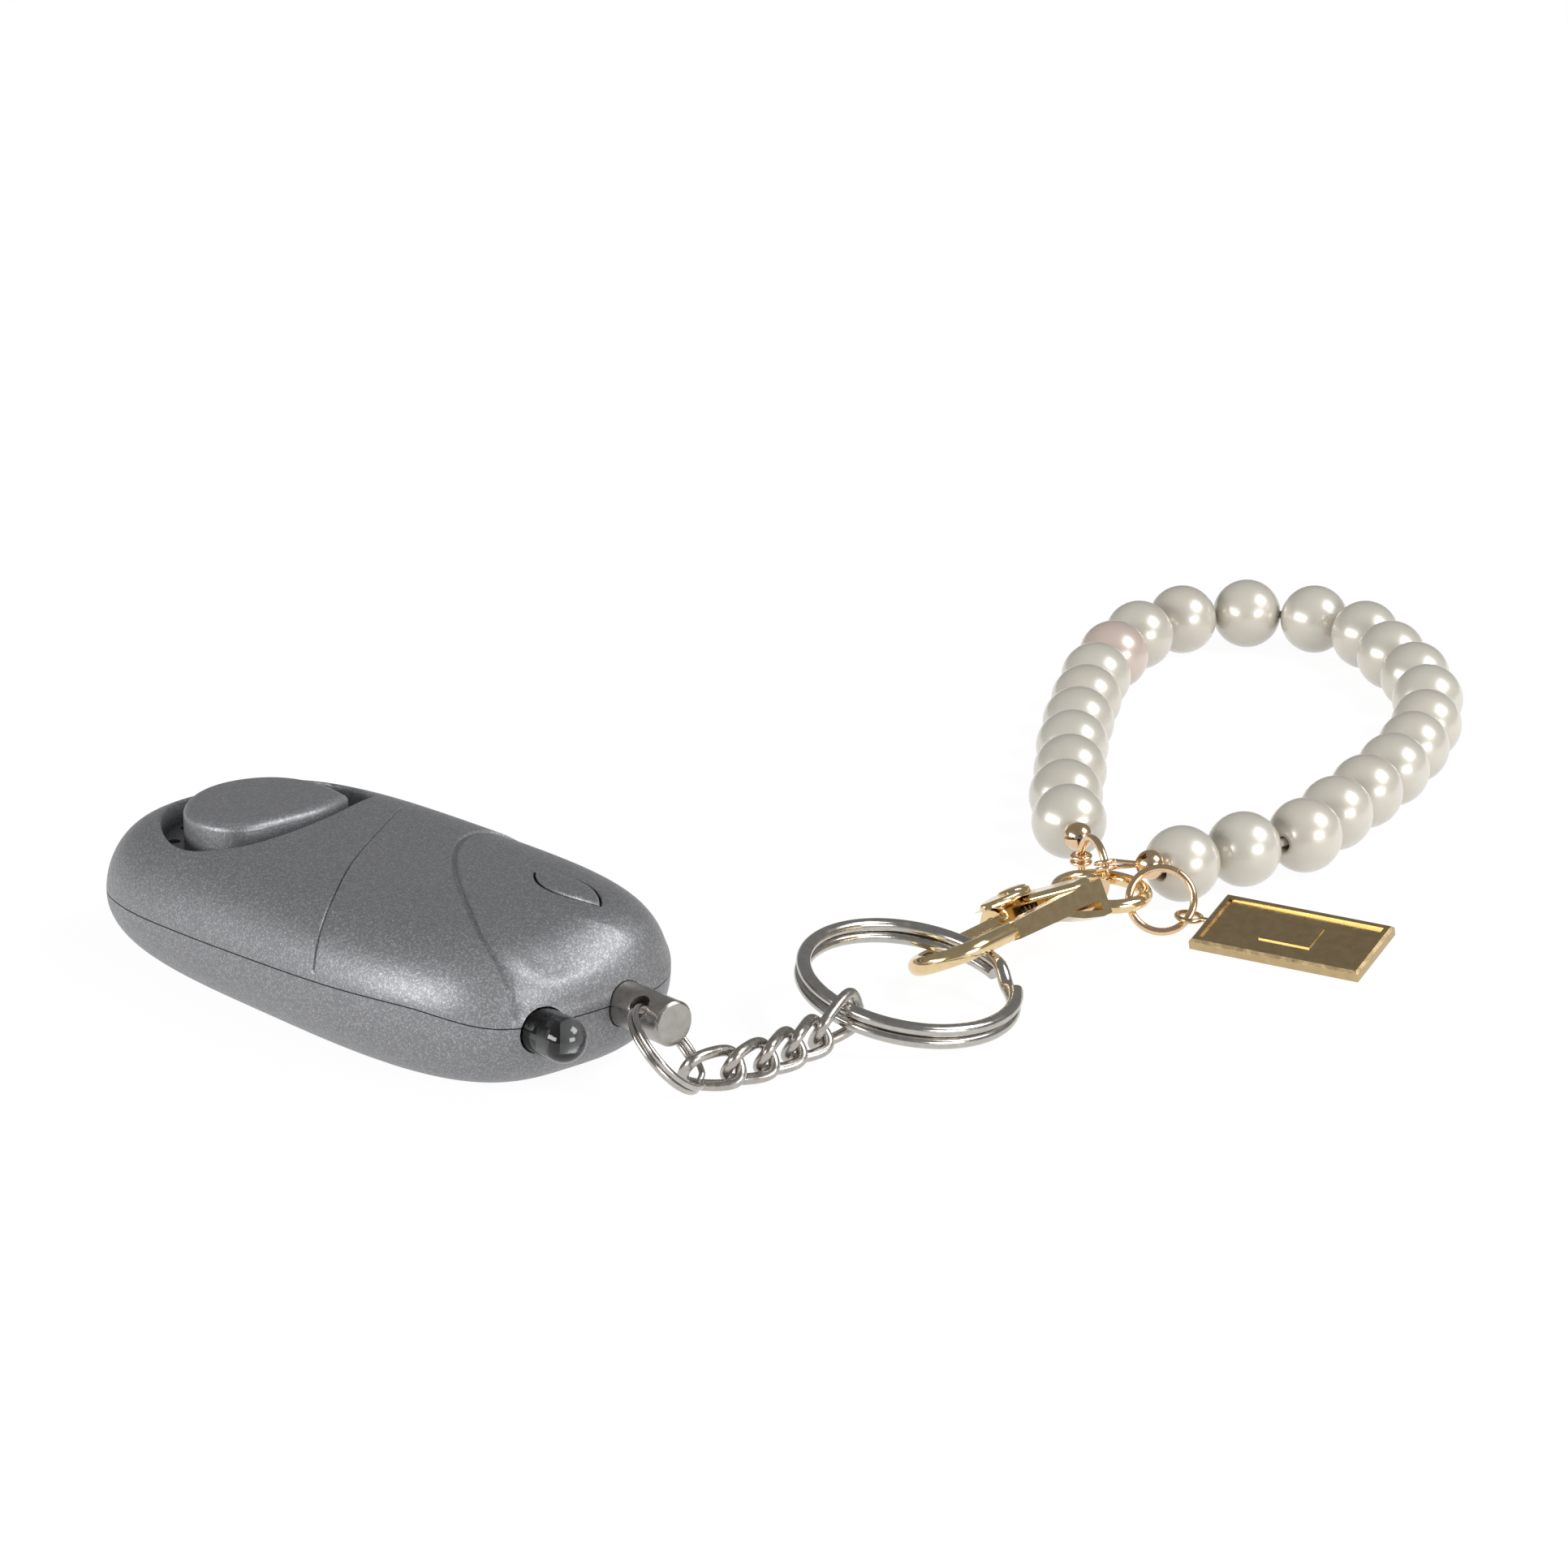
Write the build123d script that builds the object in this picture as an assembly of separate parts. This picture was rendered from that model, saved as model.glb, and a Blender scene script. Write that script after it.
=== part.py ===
from build123d import *
import os
from math import asin, cos, pi, radians, sin, tan

# Personal safety alarm with a key ring, a snap hook, a charm and a pearl strand, in millimetres.
# Origin: middle of the casing's flat underside. +X runs along the casing to the pull pin, +Z up.

os.makedirs("parts", exist_ok=True)

# Driving dimensions of the casing
casing_length = 74.0
casing_width = 38.2
seam_height_rear = 6.1
seam_height_front = 8.9
top_height_rear = 16.0
top_height_front = 18.5
underside_round = 9.0
plan_power = 3.3
shoulder_power = 5.2
wall = 1.6
seam_gap = 0.2
seam_depth = 0.35
lip_height = 1.2
lip_thickness = 0.8
overrun = 30.0
fit_clearance = 0.1
free_clearance = 0.3

# Driving dimensions of the pull pin, the torch lamp and the button
pin_diameter = 5.0
pin_reach = 7.6
pin_inside = 13.0
pin_side = 4.2
pin_height = 8.5
pin_edge = 0.25
cross_hole = 2.6
cross_hole_roll = 38.0
cross_hole_from_casing = 4.1
led_diameter = 5.0
led_flange_diameter = 5.8
led_flange_length = 1.0
led_barrel_length = 6.1
led_side = -6.8
led_height = 8.2
led_tip_reach = 5.2
lead_width = 0.5
lead_spacing = 2.54
button_length = 12.4
button_width = 4.4
button_centre = (24.3, 6.4)
button_turn = -5.0
button_proud = 0.3
button_travel = 0.5

# Driving dimensions of the rings and the chain
ring_wire = 0.7
ring_outer = 11.2
ring_swing = 33.0
coil_gap = 0.42
link_wire = 1.15
link_width = 5.0
last_link_width = 6.1
link_slack = 0.25
link_twist = -80.0
link_roll = 86.0
last_link_twist = -40.0
last_link_roll = 106.0
chain_contacts = [(45.7, 5.4, 3.3), (47.1, 10.1, 2.95), (47.4, 14.4, 2.9), (46.8, 18.8, 2.9),
                  (46.0, 23.2, 2.95), (45.44, 28.4, 4.35)]
key_wire = 1.3
key_outer = 25.0
key_centre = (43.3, 38.4, 4.2)
key_rise = (-0.205, -0.045)
pin_ring_ramp = -70.0
pin_ring_sides = 20
key_ring_ramp = 74.0
key_ring_sides = 24

# Driving dimensions of the snap hook and its swivel eye
hook_base = (36.25, 68.8, 4.8)
hook_bow = (40.05, 48.2, 4.35)
hook_tilt = 25.0
hook_rod = 2.1
hook_half_gap = 4.4
bar_length = 16.2
bar_width = 2.2
base_length = 4.5
base_width = 11.4
base_thick = 3.8
barrel_side = 3.8
barrel_start = 0.6
barrel_end = 8.5
collar_length = 0.8
bore_diameter = 3.0
bore_start = 0.8
bore_end = 7.7
piston_diameter = 2.8
piston_start = 5.15
piston_length = 1.6
bolt_rod = 2.0
bolt_travel = 2.2
nose_length = 2.2
spring_wire = 0.3
spring_outer = 2.5
spring_pitch = 0.78
spring_turns = 5
thumb_start = 1.2
thumb_length = 8.0
thumb_width = 4.8
thumb_thick = 0.7
thumb_lift = 0.15
eye_centre = (35.8, 74.5, 4.0)
eye_wire = 1.6
eye_width = 12.4
eye_length = 10.8
stem_diameter = 2.0
stem_head_diameter = 2.7

# Driving dimensions of the strand and the charm
pearl_diameter = 8.8
pearl_bore = 2.4
cord_diameter = 1.0
jump_wire = 0.9
strand_ring_outer = 8.0
strand_ring_centre = (30.46, 78.46, 4.3)
strand_ring_along = (0.94, -0.34, 0.0)
charm_ring_outer = 8.2
charm_ring_centre = (41.8, 78.15, 3.75)
charm_ring_normal = (0.653, -0.569, 0.5)
calotte_diameter = 3.4
calotte_wall = 0.35
calotte_left = (22.1, 84.0, 4.7)
calotte_right = (36.8, 81.2, 5.9)
loop_wire = 0.5
loop_outer = 2.6
charm_hole = -32.0
charm_along = (0.949, 0.316, 0.0)
charm_across = (-0.406, 0.875, 0.26)
charm_length = 20.8
charm_width = 9.8
charm_thick = 1.3
charm_rim = 0.9
charm_recess = 0.3
charm_start = 2.4
charm_loop_wire = 0.6
charm_loop_outer = 3.4

half_length = casing_length / 2
half_width = casing_width / 2
seam_middle = (seam_height_rear + seam_height_front) / 2
seam_slope = (seam_height_front - seam_height_rear) / casing_length
top_middle = (top_height_rear + top_height_front) / 2
top_slope = (top_height_front - top_height_rear) / casing_length
outline_points = 36
grown_points = 30
lower_steps = 6
upper_angles = (14, 28, 42, 55, 66, 75, 82, 86.5)


def seam_z(x):
    return seam_middle + seam_slope * x


def top_z(x):
    return top_middle + top_slope * x


def oval_wire(reach_x, reach_y, height):
    """Closed superellipse outline whose height is a linear function of x."""
    points = []
    for step in range(outline_points):
        turn = 2 * pi * (step + 0.5) / outline_points
        c, s = cos(turn), sin(turn)
        x = reach_x * abs(c) ** (2 / plan_power) * (1 if c > 0 else -1)
        y = reach_y * abs(s) ** (2 / plan_power) * (1 if s > 0 else -1)
        points.append((x, y, height(x)))
    return Wire([Spline(*points, periodic=True).edge()])


def casing_form(inset):
    """The casing's closed outer form, drawn in on all sides by inset."""
    reach_x, reach_y = half_length - inset, half_width - inset
    wires = []
    for step in range(lower_steps):
        turn = pi / 2 * (1 - step / lower_steps)
        drop, pull = sin(turn), underside_round * (1 - cos(turn))
        wires.append(oval_wire(
            reach_x - pull, reach_y - pull, lambda x: seam_z(x) * (1 - drop) + inset * drop))
    wires.append(oval_wire(reach_x, reach_y, seam_z))
    for angle in upper_angles:
        rise = sin(radians(angle))
        pull = reach_y * (1 - cos(radians(angle)) ** (2 / shoulder_power))
        wires.append(oval_wire(
            reach_x - pull, reach_y - pull,
            lambda x: seam_z(x) * (1 - rise) + (top_z(x) - inset) * rise))
    return Solid.make_loft(wires)


def seam_plane(lift):
    return Plane(origin=(0, 0, seam_middle + lift), x_dir=(1, 0, seam_slope), z_dir=(-seam_slope, 0, 1))


def above_seam(form, lift=0.0):
    return split(form, bisect_by=seam_plane(lift), keep=Keep.TOP)


def below_seam(form, lift=0.0):
    return split(form, bisect_by=seam_plane(lift), keep=Keep.BOTTOM)


def slab(low, high):
    """Tilted slice of space along the seam, between two heights over it."""
    return extrude(seam_plane(low) * Rectangle(2 * casing_length, 2 * casing_width), amount=high - low)


def place(shares):
    return [(share_x * half_length, share_y * half_width) for share_x, share_y in shares]


def rod(radius, start, end):
    """Round rod between two points."""
    path = Vector(*end) - Vector(*start)
    return Solid.make_cylinder(radius, path.length, Plane(origin=start, z_dir=path))


def block(size_x, size_y, size_z, centre):
    return Pos(*centre) * Box(size_x, size_y, size_z)


def prism(outline, low, high):
    """Upright prism on a closed outline, from height low to height high."""
    return extrude(Pos(0, 0, low) * make_face(outline), amount=high - low, dir=(0, 0, 1))


def grown(shares, amount):
    """Face inside a smooth closed outline, grown by a distance from the curve through the shares."""
    line = Spline(*place(shares))
    points = []
    for index in range(grown_points):
        share = (index + 0.5) / grown_points
        spot, along = line @ share, line % share
        points.append((spot.X - along.Y * amount, spot.Y + along.X * amount))
    return make_face(Spline(*points, periodic=True).edge())


def one(shape):
    """The single solid of a shape."""
    solids = shape.solids()
    if len(solids) != 1:
        print("expected one solid, found", len(solids))
    return max(solids, key=lambda item: item.volume)


parts = {}

# Casing halves
outer_form = casing_form(0.0)
inner_form = casing_form(wall)
seam_band = slab(-seam_gap / 2, seam_gap / 2) - casing_form(seam_depth)

# Leaf-shaped recess of the siren and the leaf that stands in it, as shares of half length and half width
recess_shares = [(-0.43, 0.58), (-0.352, 0.18), (-0.303, -0.21), (-0.32, -0.57), (-0.44, -0.71),
                 (-0.62, -0.65), (-0.78, -0.43), (-0.86, -0.05), (-0.8, 0.37), (-0.635, 0.585), (-0.43, 0.58)]
leaf_shares = [(-0.422, 0.387), (-0.378, 0.18), (-0.373, -0.16), (-0.405, -0.44), (-0.54, -0.54),
               (-0.7, -0.4), (-0.795, -0.05), (-0.73, 0.29), (-0.58, 0.41), (-0.422, 0.387)]
recess_floor = 12.6
recess_wall = 1.2
plate_thick = 1.2
plate_margin = 1.0
leaf_top = 17.5
leaf_round = 0.8
leaf_wall = 1.2
recess_face = grown(recess_shares, 0)
collar_face = grown(recess_shares, recess_wall)
plate_face = grown(recess_shares, plate_margin)
collar_form = casing_form(wall / 2)
collar = extrude(Pos(0, 0, recess_floor) * collar_face, amount=overrun, dir=(0, 0, 1)) & collar_form
recess_cut = extrude(Pos(0, 0, recess_floor - wall) * recess_face, amount=overrun, dir=(0, 0, 1))

# Sunken front panel, its arch and the fine cross groove
arch_shares = [(1.06, -0.51), (0.905, -0.52), (0.78, -0.47), (0.635, -0.33), (0.435, -0.1), (0.257, 0.136),
               (0.154, 0.314), (0.095, 0.466), (0.066, 0.62), (0.075, 0.78), (0.16, 0.93), (0.3, 1.06)]
panel_drop = 0.22
groove_depth = 0.3
groove_width = 0.45
arch_line = Spline(*place(arch_shares))
panel_corners = [place(arch_shares)[-1], (casing_length, casing_width), (casing_length, -half_width),
                 place(arch_shares)[0]]
panel_outline = Wire(arch_line.edges() + Polyline(*panel_corners).edges())
panel_lift = 1.0
panel_form = casing_form(panel_drop)
panel_cut = above_seam(prism(panel_outline, 0, overrun), panel_lift) - panel_form
cross_shares = [(0.36, -1.04), (0.3, -0.865), (0.265, -0.765), (0.172, -0.545), (0.08, -0.345),
                (-0.18, 0.32), (-0.3, 0.68), (-0.36, 1.04)]
cross_width = 0.25
cross_line = Spline(*place(cross_shares))


def groove(line, width):
    """Upright sheet along a plan line, to cut a fine groove with."""
    start, along = line @ 0, line % 0
    section = Plane(origin=start, z_dir=along, x_dir=Vector(along.Y, -along.X, 0))
    return sweep(section * Rectangle(width, 2 * overrun), path=line)


arch_groove = above_seam(groove(arch_line, groove_width), panel_lift) - casing_form(groove_depth)
cross_groove = above_seam(groove(cross_line, cross_width), panel_lift) - panel_form

# Screw posts, board posts and the battery cradle
post_places = [(18.0, -12.6), (18.0, 12.6), (-7.5, -12.6), (-7.5, 12.6)]
post_radius = 2.4
screw_radius = 1.0
screw_head_radius = 1.9
screw_head_depth = 4.2
screw_length = 9.0
board_bottom = 11.9
board_thick = 1.1
board_low = (9.6, -9.8)
board_high = (31.0, 9.8)
cell_diameter = 11.6
cell_height = 5.4
cell_x = -1.4
cell_z = wall + fit_clearance + cell_diameter / 2 + free_clearance
contact_thick = 0.4


post_sketch = Sketch() + [Pos(x, y, wall / 2) * Circle(post_radius) for x, y in post_places]
posts = extrude(post_sketch, amount=overrun, dir=(0, 0, 1)) & collar_form
upper_posts = above_seam(posts)
lower_posts = below_seam(posts)
screw_holes = [rod(screw_radius + fit_clearance, (x, y, -overrun), (x, y, screw_head_depth + screw_length))
               for x, y in post_places]
head_holes = [rod(screw_head_radius + fit_clearance, (x, y, -overrun), (x, y, screw_head_depth))
              for x, y in post_places]
board_post_places = [(board_low[0] + 1.5 * post_radius, 0.0), (board_high[0] - post_radius / 2, 0.0)]
board_top = board_bottom + board_thick
board_posts = [rod(post_radius / 2, (x, y, board_top), (x, y, overrun)) & collar_form
               for x, y in board_post_places]
cradle_length = 3 * cell_height + 2 * (contact_thick + fit_clearance)
cradle_wall = 1.2
cradle = block(cell_diameter + 2 * cradle_wall, cradle_length + 2 * cradle_wall, seam_middle - wall / 2,
               (cell_x, 0, (seam_middle + wall / 2) / 2))
cradle_hollow = rod(cell_diameter / 2 + free_clearance / 2, (cell_x, -cradle_length / 2, cell_z),
                    (cell_x, cradle_length / 2, cell_z))
guide_length = 7.0
guide_x = half_length - wall - guide_length / 2 - fit_clearance
guide = block(guide_length, pin_diameter + 2 * wall, pin_height,
              (guide_x, pin_side, pin_height / 2 + wall / 2)) & collar_form

# Pull pin and torch lamp axes
pin_end = half_length + pin_reach
pin_start = half_length - pin_inside
pin_bore = rod(pin_diameter / 2 + fit_clearance, (pin_start - free_clearance, pin_side, pin_height),
               (casing_length, pin_side, pin_height))
led_tip = half_length + led_tip_reach
led_dome_x = led_tip - led_diameter / 2
led_base = led_dome_x - led_barrel_length
led_bore = rod(led_diameter / 2 + fit_clearance, (guide_x, led_side, led_height),
               (casing_length, led_side, led_height))
led_flange_bore = rod(led_flange_diameter / 2 + fit_clearance,
                      (led_base - fit_clearance, led_side, led_height),
                      (led_base + led_flange_length + fit_clearance, led_side, led_height))
saddle_x = (guide_x + half_length) / 2
saddle = block(half_length - guide_x - wall, led_flange_diameter + 2 * wall, led_height,
               (saddle_x, led_side, led_height / 2 + wall / 2)) & collar_form

lip_inner = casing_form(wall + fit_clearance + lip_thickness)
lip_top = (slab(0, lip_height) & casing_form(wall + fit_clearance)) - lip_inner
lip_foot = (slab(-lip_height, 0) & collar_form) - lip_inner
upper_post_room = [rod(post_radius + fit_clearance, (x, y, seam_middle - lip_height), (x, y, overrun))
                   for x, y in post_places]

lower_casing = below_seam(outer_form) - below_seam(inner_form) + lower_posts
lower_casing = lower_casing + lip_foot + (lip_top - upper_post_room)
lower_casing = lower_casing + below_seam(cradle) + below_seam(guide) + below_seam(saddle)
lower_casing = lower_casing - screw_holes - head_holes - pin_bore - led_bore - led_flange_bore - cradle_hollow
lower_casing = lower_casing - seam_band
parts["lower_casing"] = one(lower_casing)

# Torch button, eye-shaped, with a flange under the panel
button_arc_rise = button_width / 2


def lens(margin):
    """Eye-shaped outline of the button, grown by a margin."""
    reach, rise = button_length / 2 + margin, button_arc_rise + margin
    near = ThreePointArc((-reach, 0), (0, -rise), (reach, 0))
    far = ThreePointArc((reach, 0), (0, rise), (-reach, 0))
    return Pos(*button_centre) * Rot(0, 0, button_turn) * make_face([near.edge(), far.edge()])


button_flange_margin = 0.8
switch_height = 1.3
switch_lift = 1.1
button_low = board_top + switch_height + switch_lift
button_body = extrude(Pos(0, 0, button_low) * lens(-free_clearance / 2), amount=overrun, dir=(0, 0, 1))
button_body = button_body & casing_form(panel_drop - button_proud)
button_flange = extrude(Pos(0, 0, button_low) * lens(button_flange_margin), amount=overrun, dir=(0, 0, 1))
button_flange = button_flange & casing_form(wall + fit_clearance)
button_hole = extrude(Pos(0, 0, board_top) * lens(0), amount=overrun, dir=(0, 0, 1))
torch_button = button_body + button_flange

upper_casing = above_seam(outer_form) - above_seam(inner_form) + upper_posts + board_posts + collar
upper_casing = upper_casing - recess_cut - button_hole - screw_holes - pin_bore - led_bore - led_flange_bore
upper_casing = upper_casing - panel_cut - arch_groove - cross_groove - seam_band
parts["upper_casing"] = one(upper_casing)

# Siren cover: a plate under the recess with the raised leaf on it
leaf_face = grown(leaf_shares, 0)
leaf_x = leaf_face.center().X
leaf_plane = Plane(origin=(leaf_x, 0, leaf_top), x_dir=(1, 0, top_slope), z_dir=(-top_slope, 0, 1))
leaf_body = extrude(Pos(0, 0, recess_floor - plate_thick) * leaf_face, amount=overrun, dir=(0, 0, 1))
leaf_body = split(leaf_body, bisect_by=leaf_plane, keep=Keep.BOTTOM)
leaf_body = fillet(leaf_body.faces().sort_by(Axis.Z)[-1].edges(), leaf_round)
siren_plate = extrude(Pos(0, 0, recess_floor - plate_thick) * plate_face, amount=plate_thick, dir=(0, 0, 1))
leaf_hollow = extrude(Pos(0, 0, recess_floor - 2 * plate_thick) * grown(leaf_shares, -leaf_wall),
                      amount=leaf_top - recess_floor + 2 * plate_thick - leaf_wall, dir=(0, 0, 1))
sound_holes = 14
sound_hole_radius = 0.7
mid_share = 0.5
leaf_loop, recess_loop = leaf_face.wire(), recess_face.wire()
hole_cuts = []
for index in range(sound_holes):
    share = (index + 0.5) / sound_holes
    near, far = leaf_loop @ share, recess_loop @ share
    x, y = (near.X + far.X) * mid_share, (near.Y + far.Y) * mid_share
    hole_cuts.append(rod(sound_hole_radius, (x, y, 0), (x, y, recess_floor + plate_thick)))
siren_cover = siren_plate + leaf_body - leaf_hollow - hole_cuts
parts["siren_cover"] = one(siren_cover)

# Siren: sound chamber ring, brass disc and ceramic
chamber_centre = (-21.3, -1.2)
chamber_outer = 21.0
chamber_wall = 0.9
disc_diameter = 18.0
disc_thick = 0.25
ceramic_diameter = 13.0
ceramic_thick = 0.3
chamber_top = recess_floor - plate_thick
chamber_height = 4.4
disc_drop = 3.2
disc_z = chamber_top - disc_drop
chamber_x, chamber_y = chamber_centre
chamber = rod(chamber_outer / 2, (chamber_x, chamber_y, chamber_top - chamber_height),
              (chamber_x, chamber_y, chamber_top))
chamber = chamber - rod(chamber_outer / 2 - chamber_wall, (chamber_x, chamber_y, disc_z),
                        (chamber_x, chamber_y, overrun))
chamber = chamber - rod(disc_diameter / 2 - chamber_wall, (chamber_x, chamber_y, 0),
                        (chamber_x, chamber_y, overrun))
parts["sound_chamber"] = one(chamber)
parts["siren_disc"] = rod(disc_diameter / 2, (chamber_x, chamber_y, disc_z),
                          (chamber_x, chamber_y, disc_z + disc_thick))
parts["siren_ceramic"] = rod(ceramic_diameter / 2, (chamber_x, chamber_y, disc_z + disc_thick),
                             (chamber_x, chamber_y, disc_z + disc_thick + ceramic_thick))

# Case screws: one group of four
screws = []
cone_low = screw_head_depth - screw_head_radius + screw_radius - fit_clearance
for x, y in post_places:
    head = Solid.make_cone(screw_head_radius, screw_radius, screw_head_depth - cone_low,
                           Plane(origin=(x, y, cone_low)))
    shank = rod(screw_radius, (x, y, screw_head_depth - screw_radius),
                (x, y, screw_head_depth + screw_length - wall))
    cap = rod(screw_head_radius, (x, y, screw_head_depth - 2 * screw_radius), (x, y, cone_low))
    slot_cut = block(2 * screw_head_radius + wall, screw_radius / 2, screw_radius,
                     (x, y, screw_head_depth - 2 * screw_radius))
    screws.append((cap + head + shank - slot_cut).solid())
parts["case_screws"] = Compound(children=screws)

# Button cells and their two contacts
cells = []
for index in range(3):
    start = (index - 1.5) * cell_height
    can = rod(cell_diameter / 2, (cell_x, start + fit_clearance / 2, cell_z),
              (cell_x, start + cell_height - fit_clearance / 2, cell_z))
    cells.append(can.chamfer(cell_height / 12, cell_height / 12, can.edges()[:1]))
parts["button_cells"] = Compound(children=cells)
contacts = []
for side in (-1, 1):
    contact_y = side * (1.5 * cell_height + contact_thick / 2 + fit_clearance / 2)
    contacts.append(block(cell_diameter * 0.65, contact_thick, cell_diameter * 0.8,
                          (cell_x, contact_y, cell_z + cell_diameter * 0.05)).solid())
parts["cell_contacts"] = Compound(children=contacts)

# Circuit board with its parts
board_size_x, board_size_y = board_high[0] - board_low[0], board_high[1] - board_low[1]
board = block(board_size_x, board_size_y, board_thick,
              ((board_high[0] + board_low[0]) / 2, 0, board_bottom + board_thick / 2))
board = board - upper_post_room
parts["circuit_board"] = one(board)
switch_side = 4.6
plunger_radius = 1.0
plunger_depth = 0.5
switch_x, switch_y = button_centre
plunger_low = board_top + switch_height - plunger_depth
switch = block(switch_side, switch_side, switch_height, (switch_x, switch_y, board_top + switch_height / 2))
plunger_room = plunger_low - button_travel - fit_clearance
switch = switch - rod(plunger_radius + fit_clearance, (switch_x, switch_y, plunger_room),
                      (switch_x, switch_y, overrun))
parts["torch_switch"] = one(switch)
plunger = rod(plunger_radius, (switch_x, switch_y, plunger_low), (switch_x, switch_y, button_low))
parts["torch_button"] = one(torch_button + plunger)
coil_diameter, coil_height = 5.2, 3.6
coil_core, coil_flange = 2.4, 0.6
coil_x, coil_y = board_low[0] + coil_diameter, board_low[1] + coil_diameter
coil = rod(coil_diameter / 2, (coil_x, coil_y, board_bottom - coil_height), (coil_x, coil_y, board_bottom))
coil_cut = rod(coil_diameter / 2 + wall, (coil_x, coil_y, board_bottom - coil_height + coil_flange),
               (coil_x, coil_y, board_bottom - coil_flange))
coil_cut = coil_cut - rod(coil_core, (coil_x, coil_y, 0), (coil_x, coil_y, overrun))
parts["step_up_coil"] = one(coil - coil_cut)
chip_length, chip_width, chip_height = 4.9, 3.9, 1.5
chip_x = board_low[0] + chip_length
parts["control_chip"] = block(chip_length, chip_width, chip_height,
                              (chip_x + post_radius, -board_size_y / 4, board_top + chip_height / 2)).solid()
leaf_spring_thick = 0.25
leaf_spring_width = 2.0
leaf_springs = []
for side in (-1, 1):
    y = pin_side + side * (pin_diameter / 2 + fit_clearance / 2 + leaf_spring_thick / 2)
    low = pin_height - pin_diameter / 2
    leaf_springs.append(block(leaf_spring_width, leaf_spring_thick, board_bottom - low,
                              (pin_start + leaf_spring_width, y, (board_bottom + low) / 2)).solid())
parts["pin_contacts"] = Compound(children=leaf_springs)


def arc_radii(points, closed=False):
    """The radius of each corner: 0.45 of its shorter run over the tangent of half the turn."""
    radii = []
    count = len(points)
    for index in range(count if closed else count - 2):
        a, b, c = (Vector(*points[(index + step) % count]) for step in (0, 1, 2))
        turn = radians((b - a).get_angle(c - b))
        radii.append(0.45 * min((b - a).length, (c - b).length) / tan(turn / 2))
    return radii[-1:] + radii[:-1] if closed else radii


def tube(points, radius):
    """Round wire along straight runs joined by tangent arcs."""
    path = FilletPolyline(*points, radius=arc_radii(points))
    return sweep(Plane(origin=path @ 0, z_dir=path % 0) * Circle(radius), path=path).solid()


def closed_tube(points, radius):
    """Round wire along a closed line, made as two halves that are joined."""
    edges = FilletPolyline(*points, radius=arc_radii(points, True), close=True).edges()
    order = [edges[0]]
    rest = list(edges[1:])
    while rest:
        tail = order[-1] @ 1
        follower = min(rest, key=lambda edge: (edge @ 0 - tail).length)
        rest.remove(follower)
        order.append(follower)
    middle = len(order) // 2
    halves = []
    for stretch in (order[:middle], order[middle:]):
        path = Wire(stretch)
        section = Plane(origin=stretch[0] @ 0, z_dir=stretch[0] % 0) * Circle(radius)
        halves.append(sweep(section, path=path).solid())
    return (halves[0] + halves[1]).solid()


wire_radius = 0.4
wire_rise = cell_z + cell_diameter / 2 + 2 * wire_radius
wire_sides = (-2.5, 2.5)
riser_out = 1.2
siren_wires = []
for y in wire_sides:
    chamber_side = chamber_x + chamber_outer / 2 + fit_clearance
    riser_x = chamber_side + wire_radius + riser_out
    route = [(chamber_side, y, disc_z), (riser_x, y, disc_z), (riser_x, y, wire_rise - wire_radius),
             (riser_x + 4 * wire_radius, y, wire_rise + wire_radius / 2),
             (board_low[0] - wall, y, wire_rise),
             (board_low[0] + 2 * wall, y, board_top + wire_radius)]
    siren_wires.append(tube(route, wire_radius))
parts["siren_wires"] = Compound(children=siren_wires)

# Torch lamp: clear epoxy body with its lead frame cut out of it
led_body = rod(led_diameter / 2, (led_base, led_side, led_height), (led_dome_x, led_side, led_height))
led_body = led_body + Pos(led_dome_x, led_side, led_height) * Sphere(led_diameter / 2)
led_body = led_body + rod(led_flange_diameter / 2, (led_base, led_side, led_height),
                          (led_base + led_flange_length, led_side, led_height))
cup_radius = 1.1
cup_length = 1.6
cup_front = led_dome_x - led_diameter / 10
lead_y = lead_spacing / 2
lead_reach = 2.0
lead_bend = led_base - lead_reach
leads = []
for side in (-1, 1):
    y = led_side + side * lead_y
    stub = block(cup_front - cup_length - lead_bend, lead_width, lead_width,
                 ((cup_front - cup_length + lead_bend) / 2, y, led_height))
    riser = block(lead_width, lead_width, board_bottom - led_height + lead_width / 2,
                  (lead_bend + lead_width / 2, y, (board_bottom + led_height - lead_width / 2) / 2))
    head_width = 2 * lead_y - 1.5 * lead_width if side > 0 else lead_width
    head_y = y - lead_width / 2 if side > 0 else y
    head = block(cup_length, head_width, 2 * cup_radius, (cup_front - cup_length / 2, head_y, led_height))
    leads.append((stub + riser + head).solid())
parts["led_leads"] = Compound(children=leads)
parts["torch_led"] = one(led_body - leads)

# Pull pin with its cross hole
pin_body = rod(pin_diameter / 2, (pin_start, pin_side, pin_height), (pin_end, pin_side, pin_height))
pin_body = chamfer(pin_body.edges().group_by(Axis.X)[-1] + pin_body.edges().group_by(Axis.X)[0], pin_edge)
hole_centre = Vector(half_length + cross_hole_from_casing, pin_side, pin_height)
hole_roll = radians(cross_hole_roll)
hole_axis = Vector(0, -cos(hole_roll), sin(hole_roll))
hole_cut = Solid.make_cylinder(cross_hole / 2, 2 * pin_diameter,
                               Plane(origin=hole_centre - hole_axis * pin_diameter, z_dir=hole_axis))
parts["pull_pin"] = one(pin_body - hole_cut)


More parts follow.
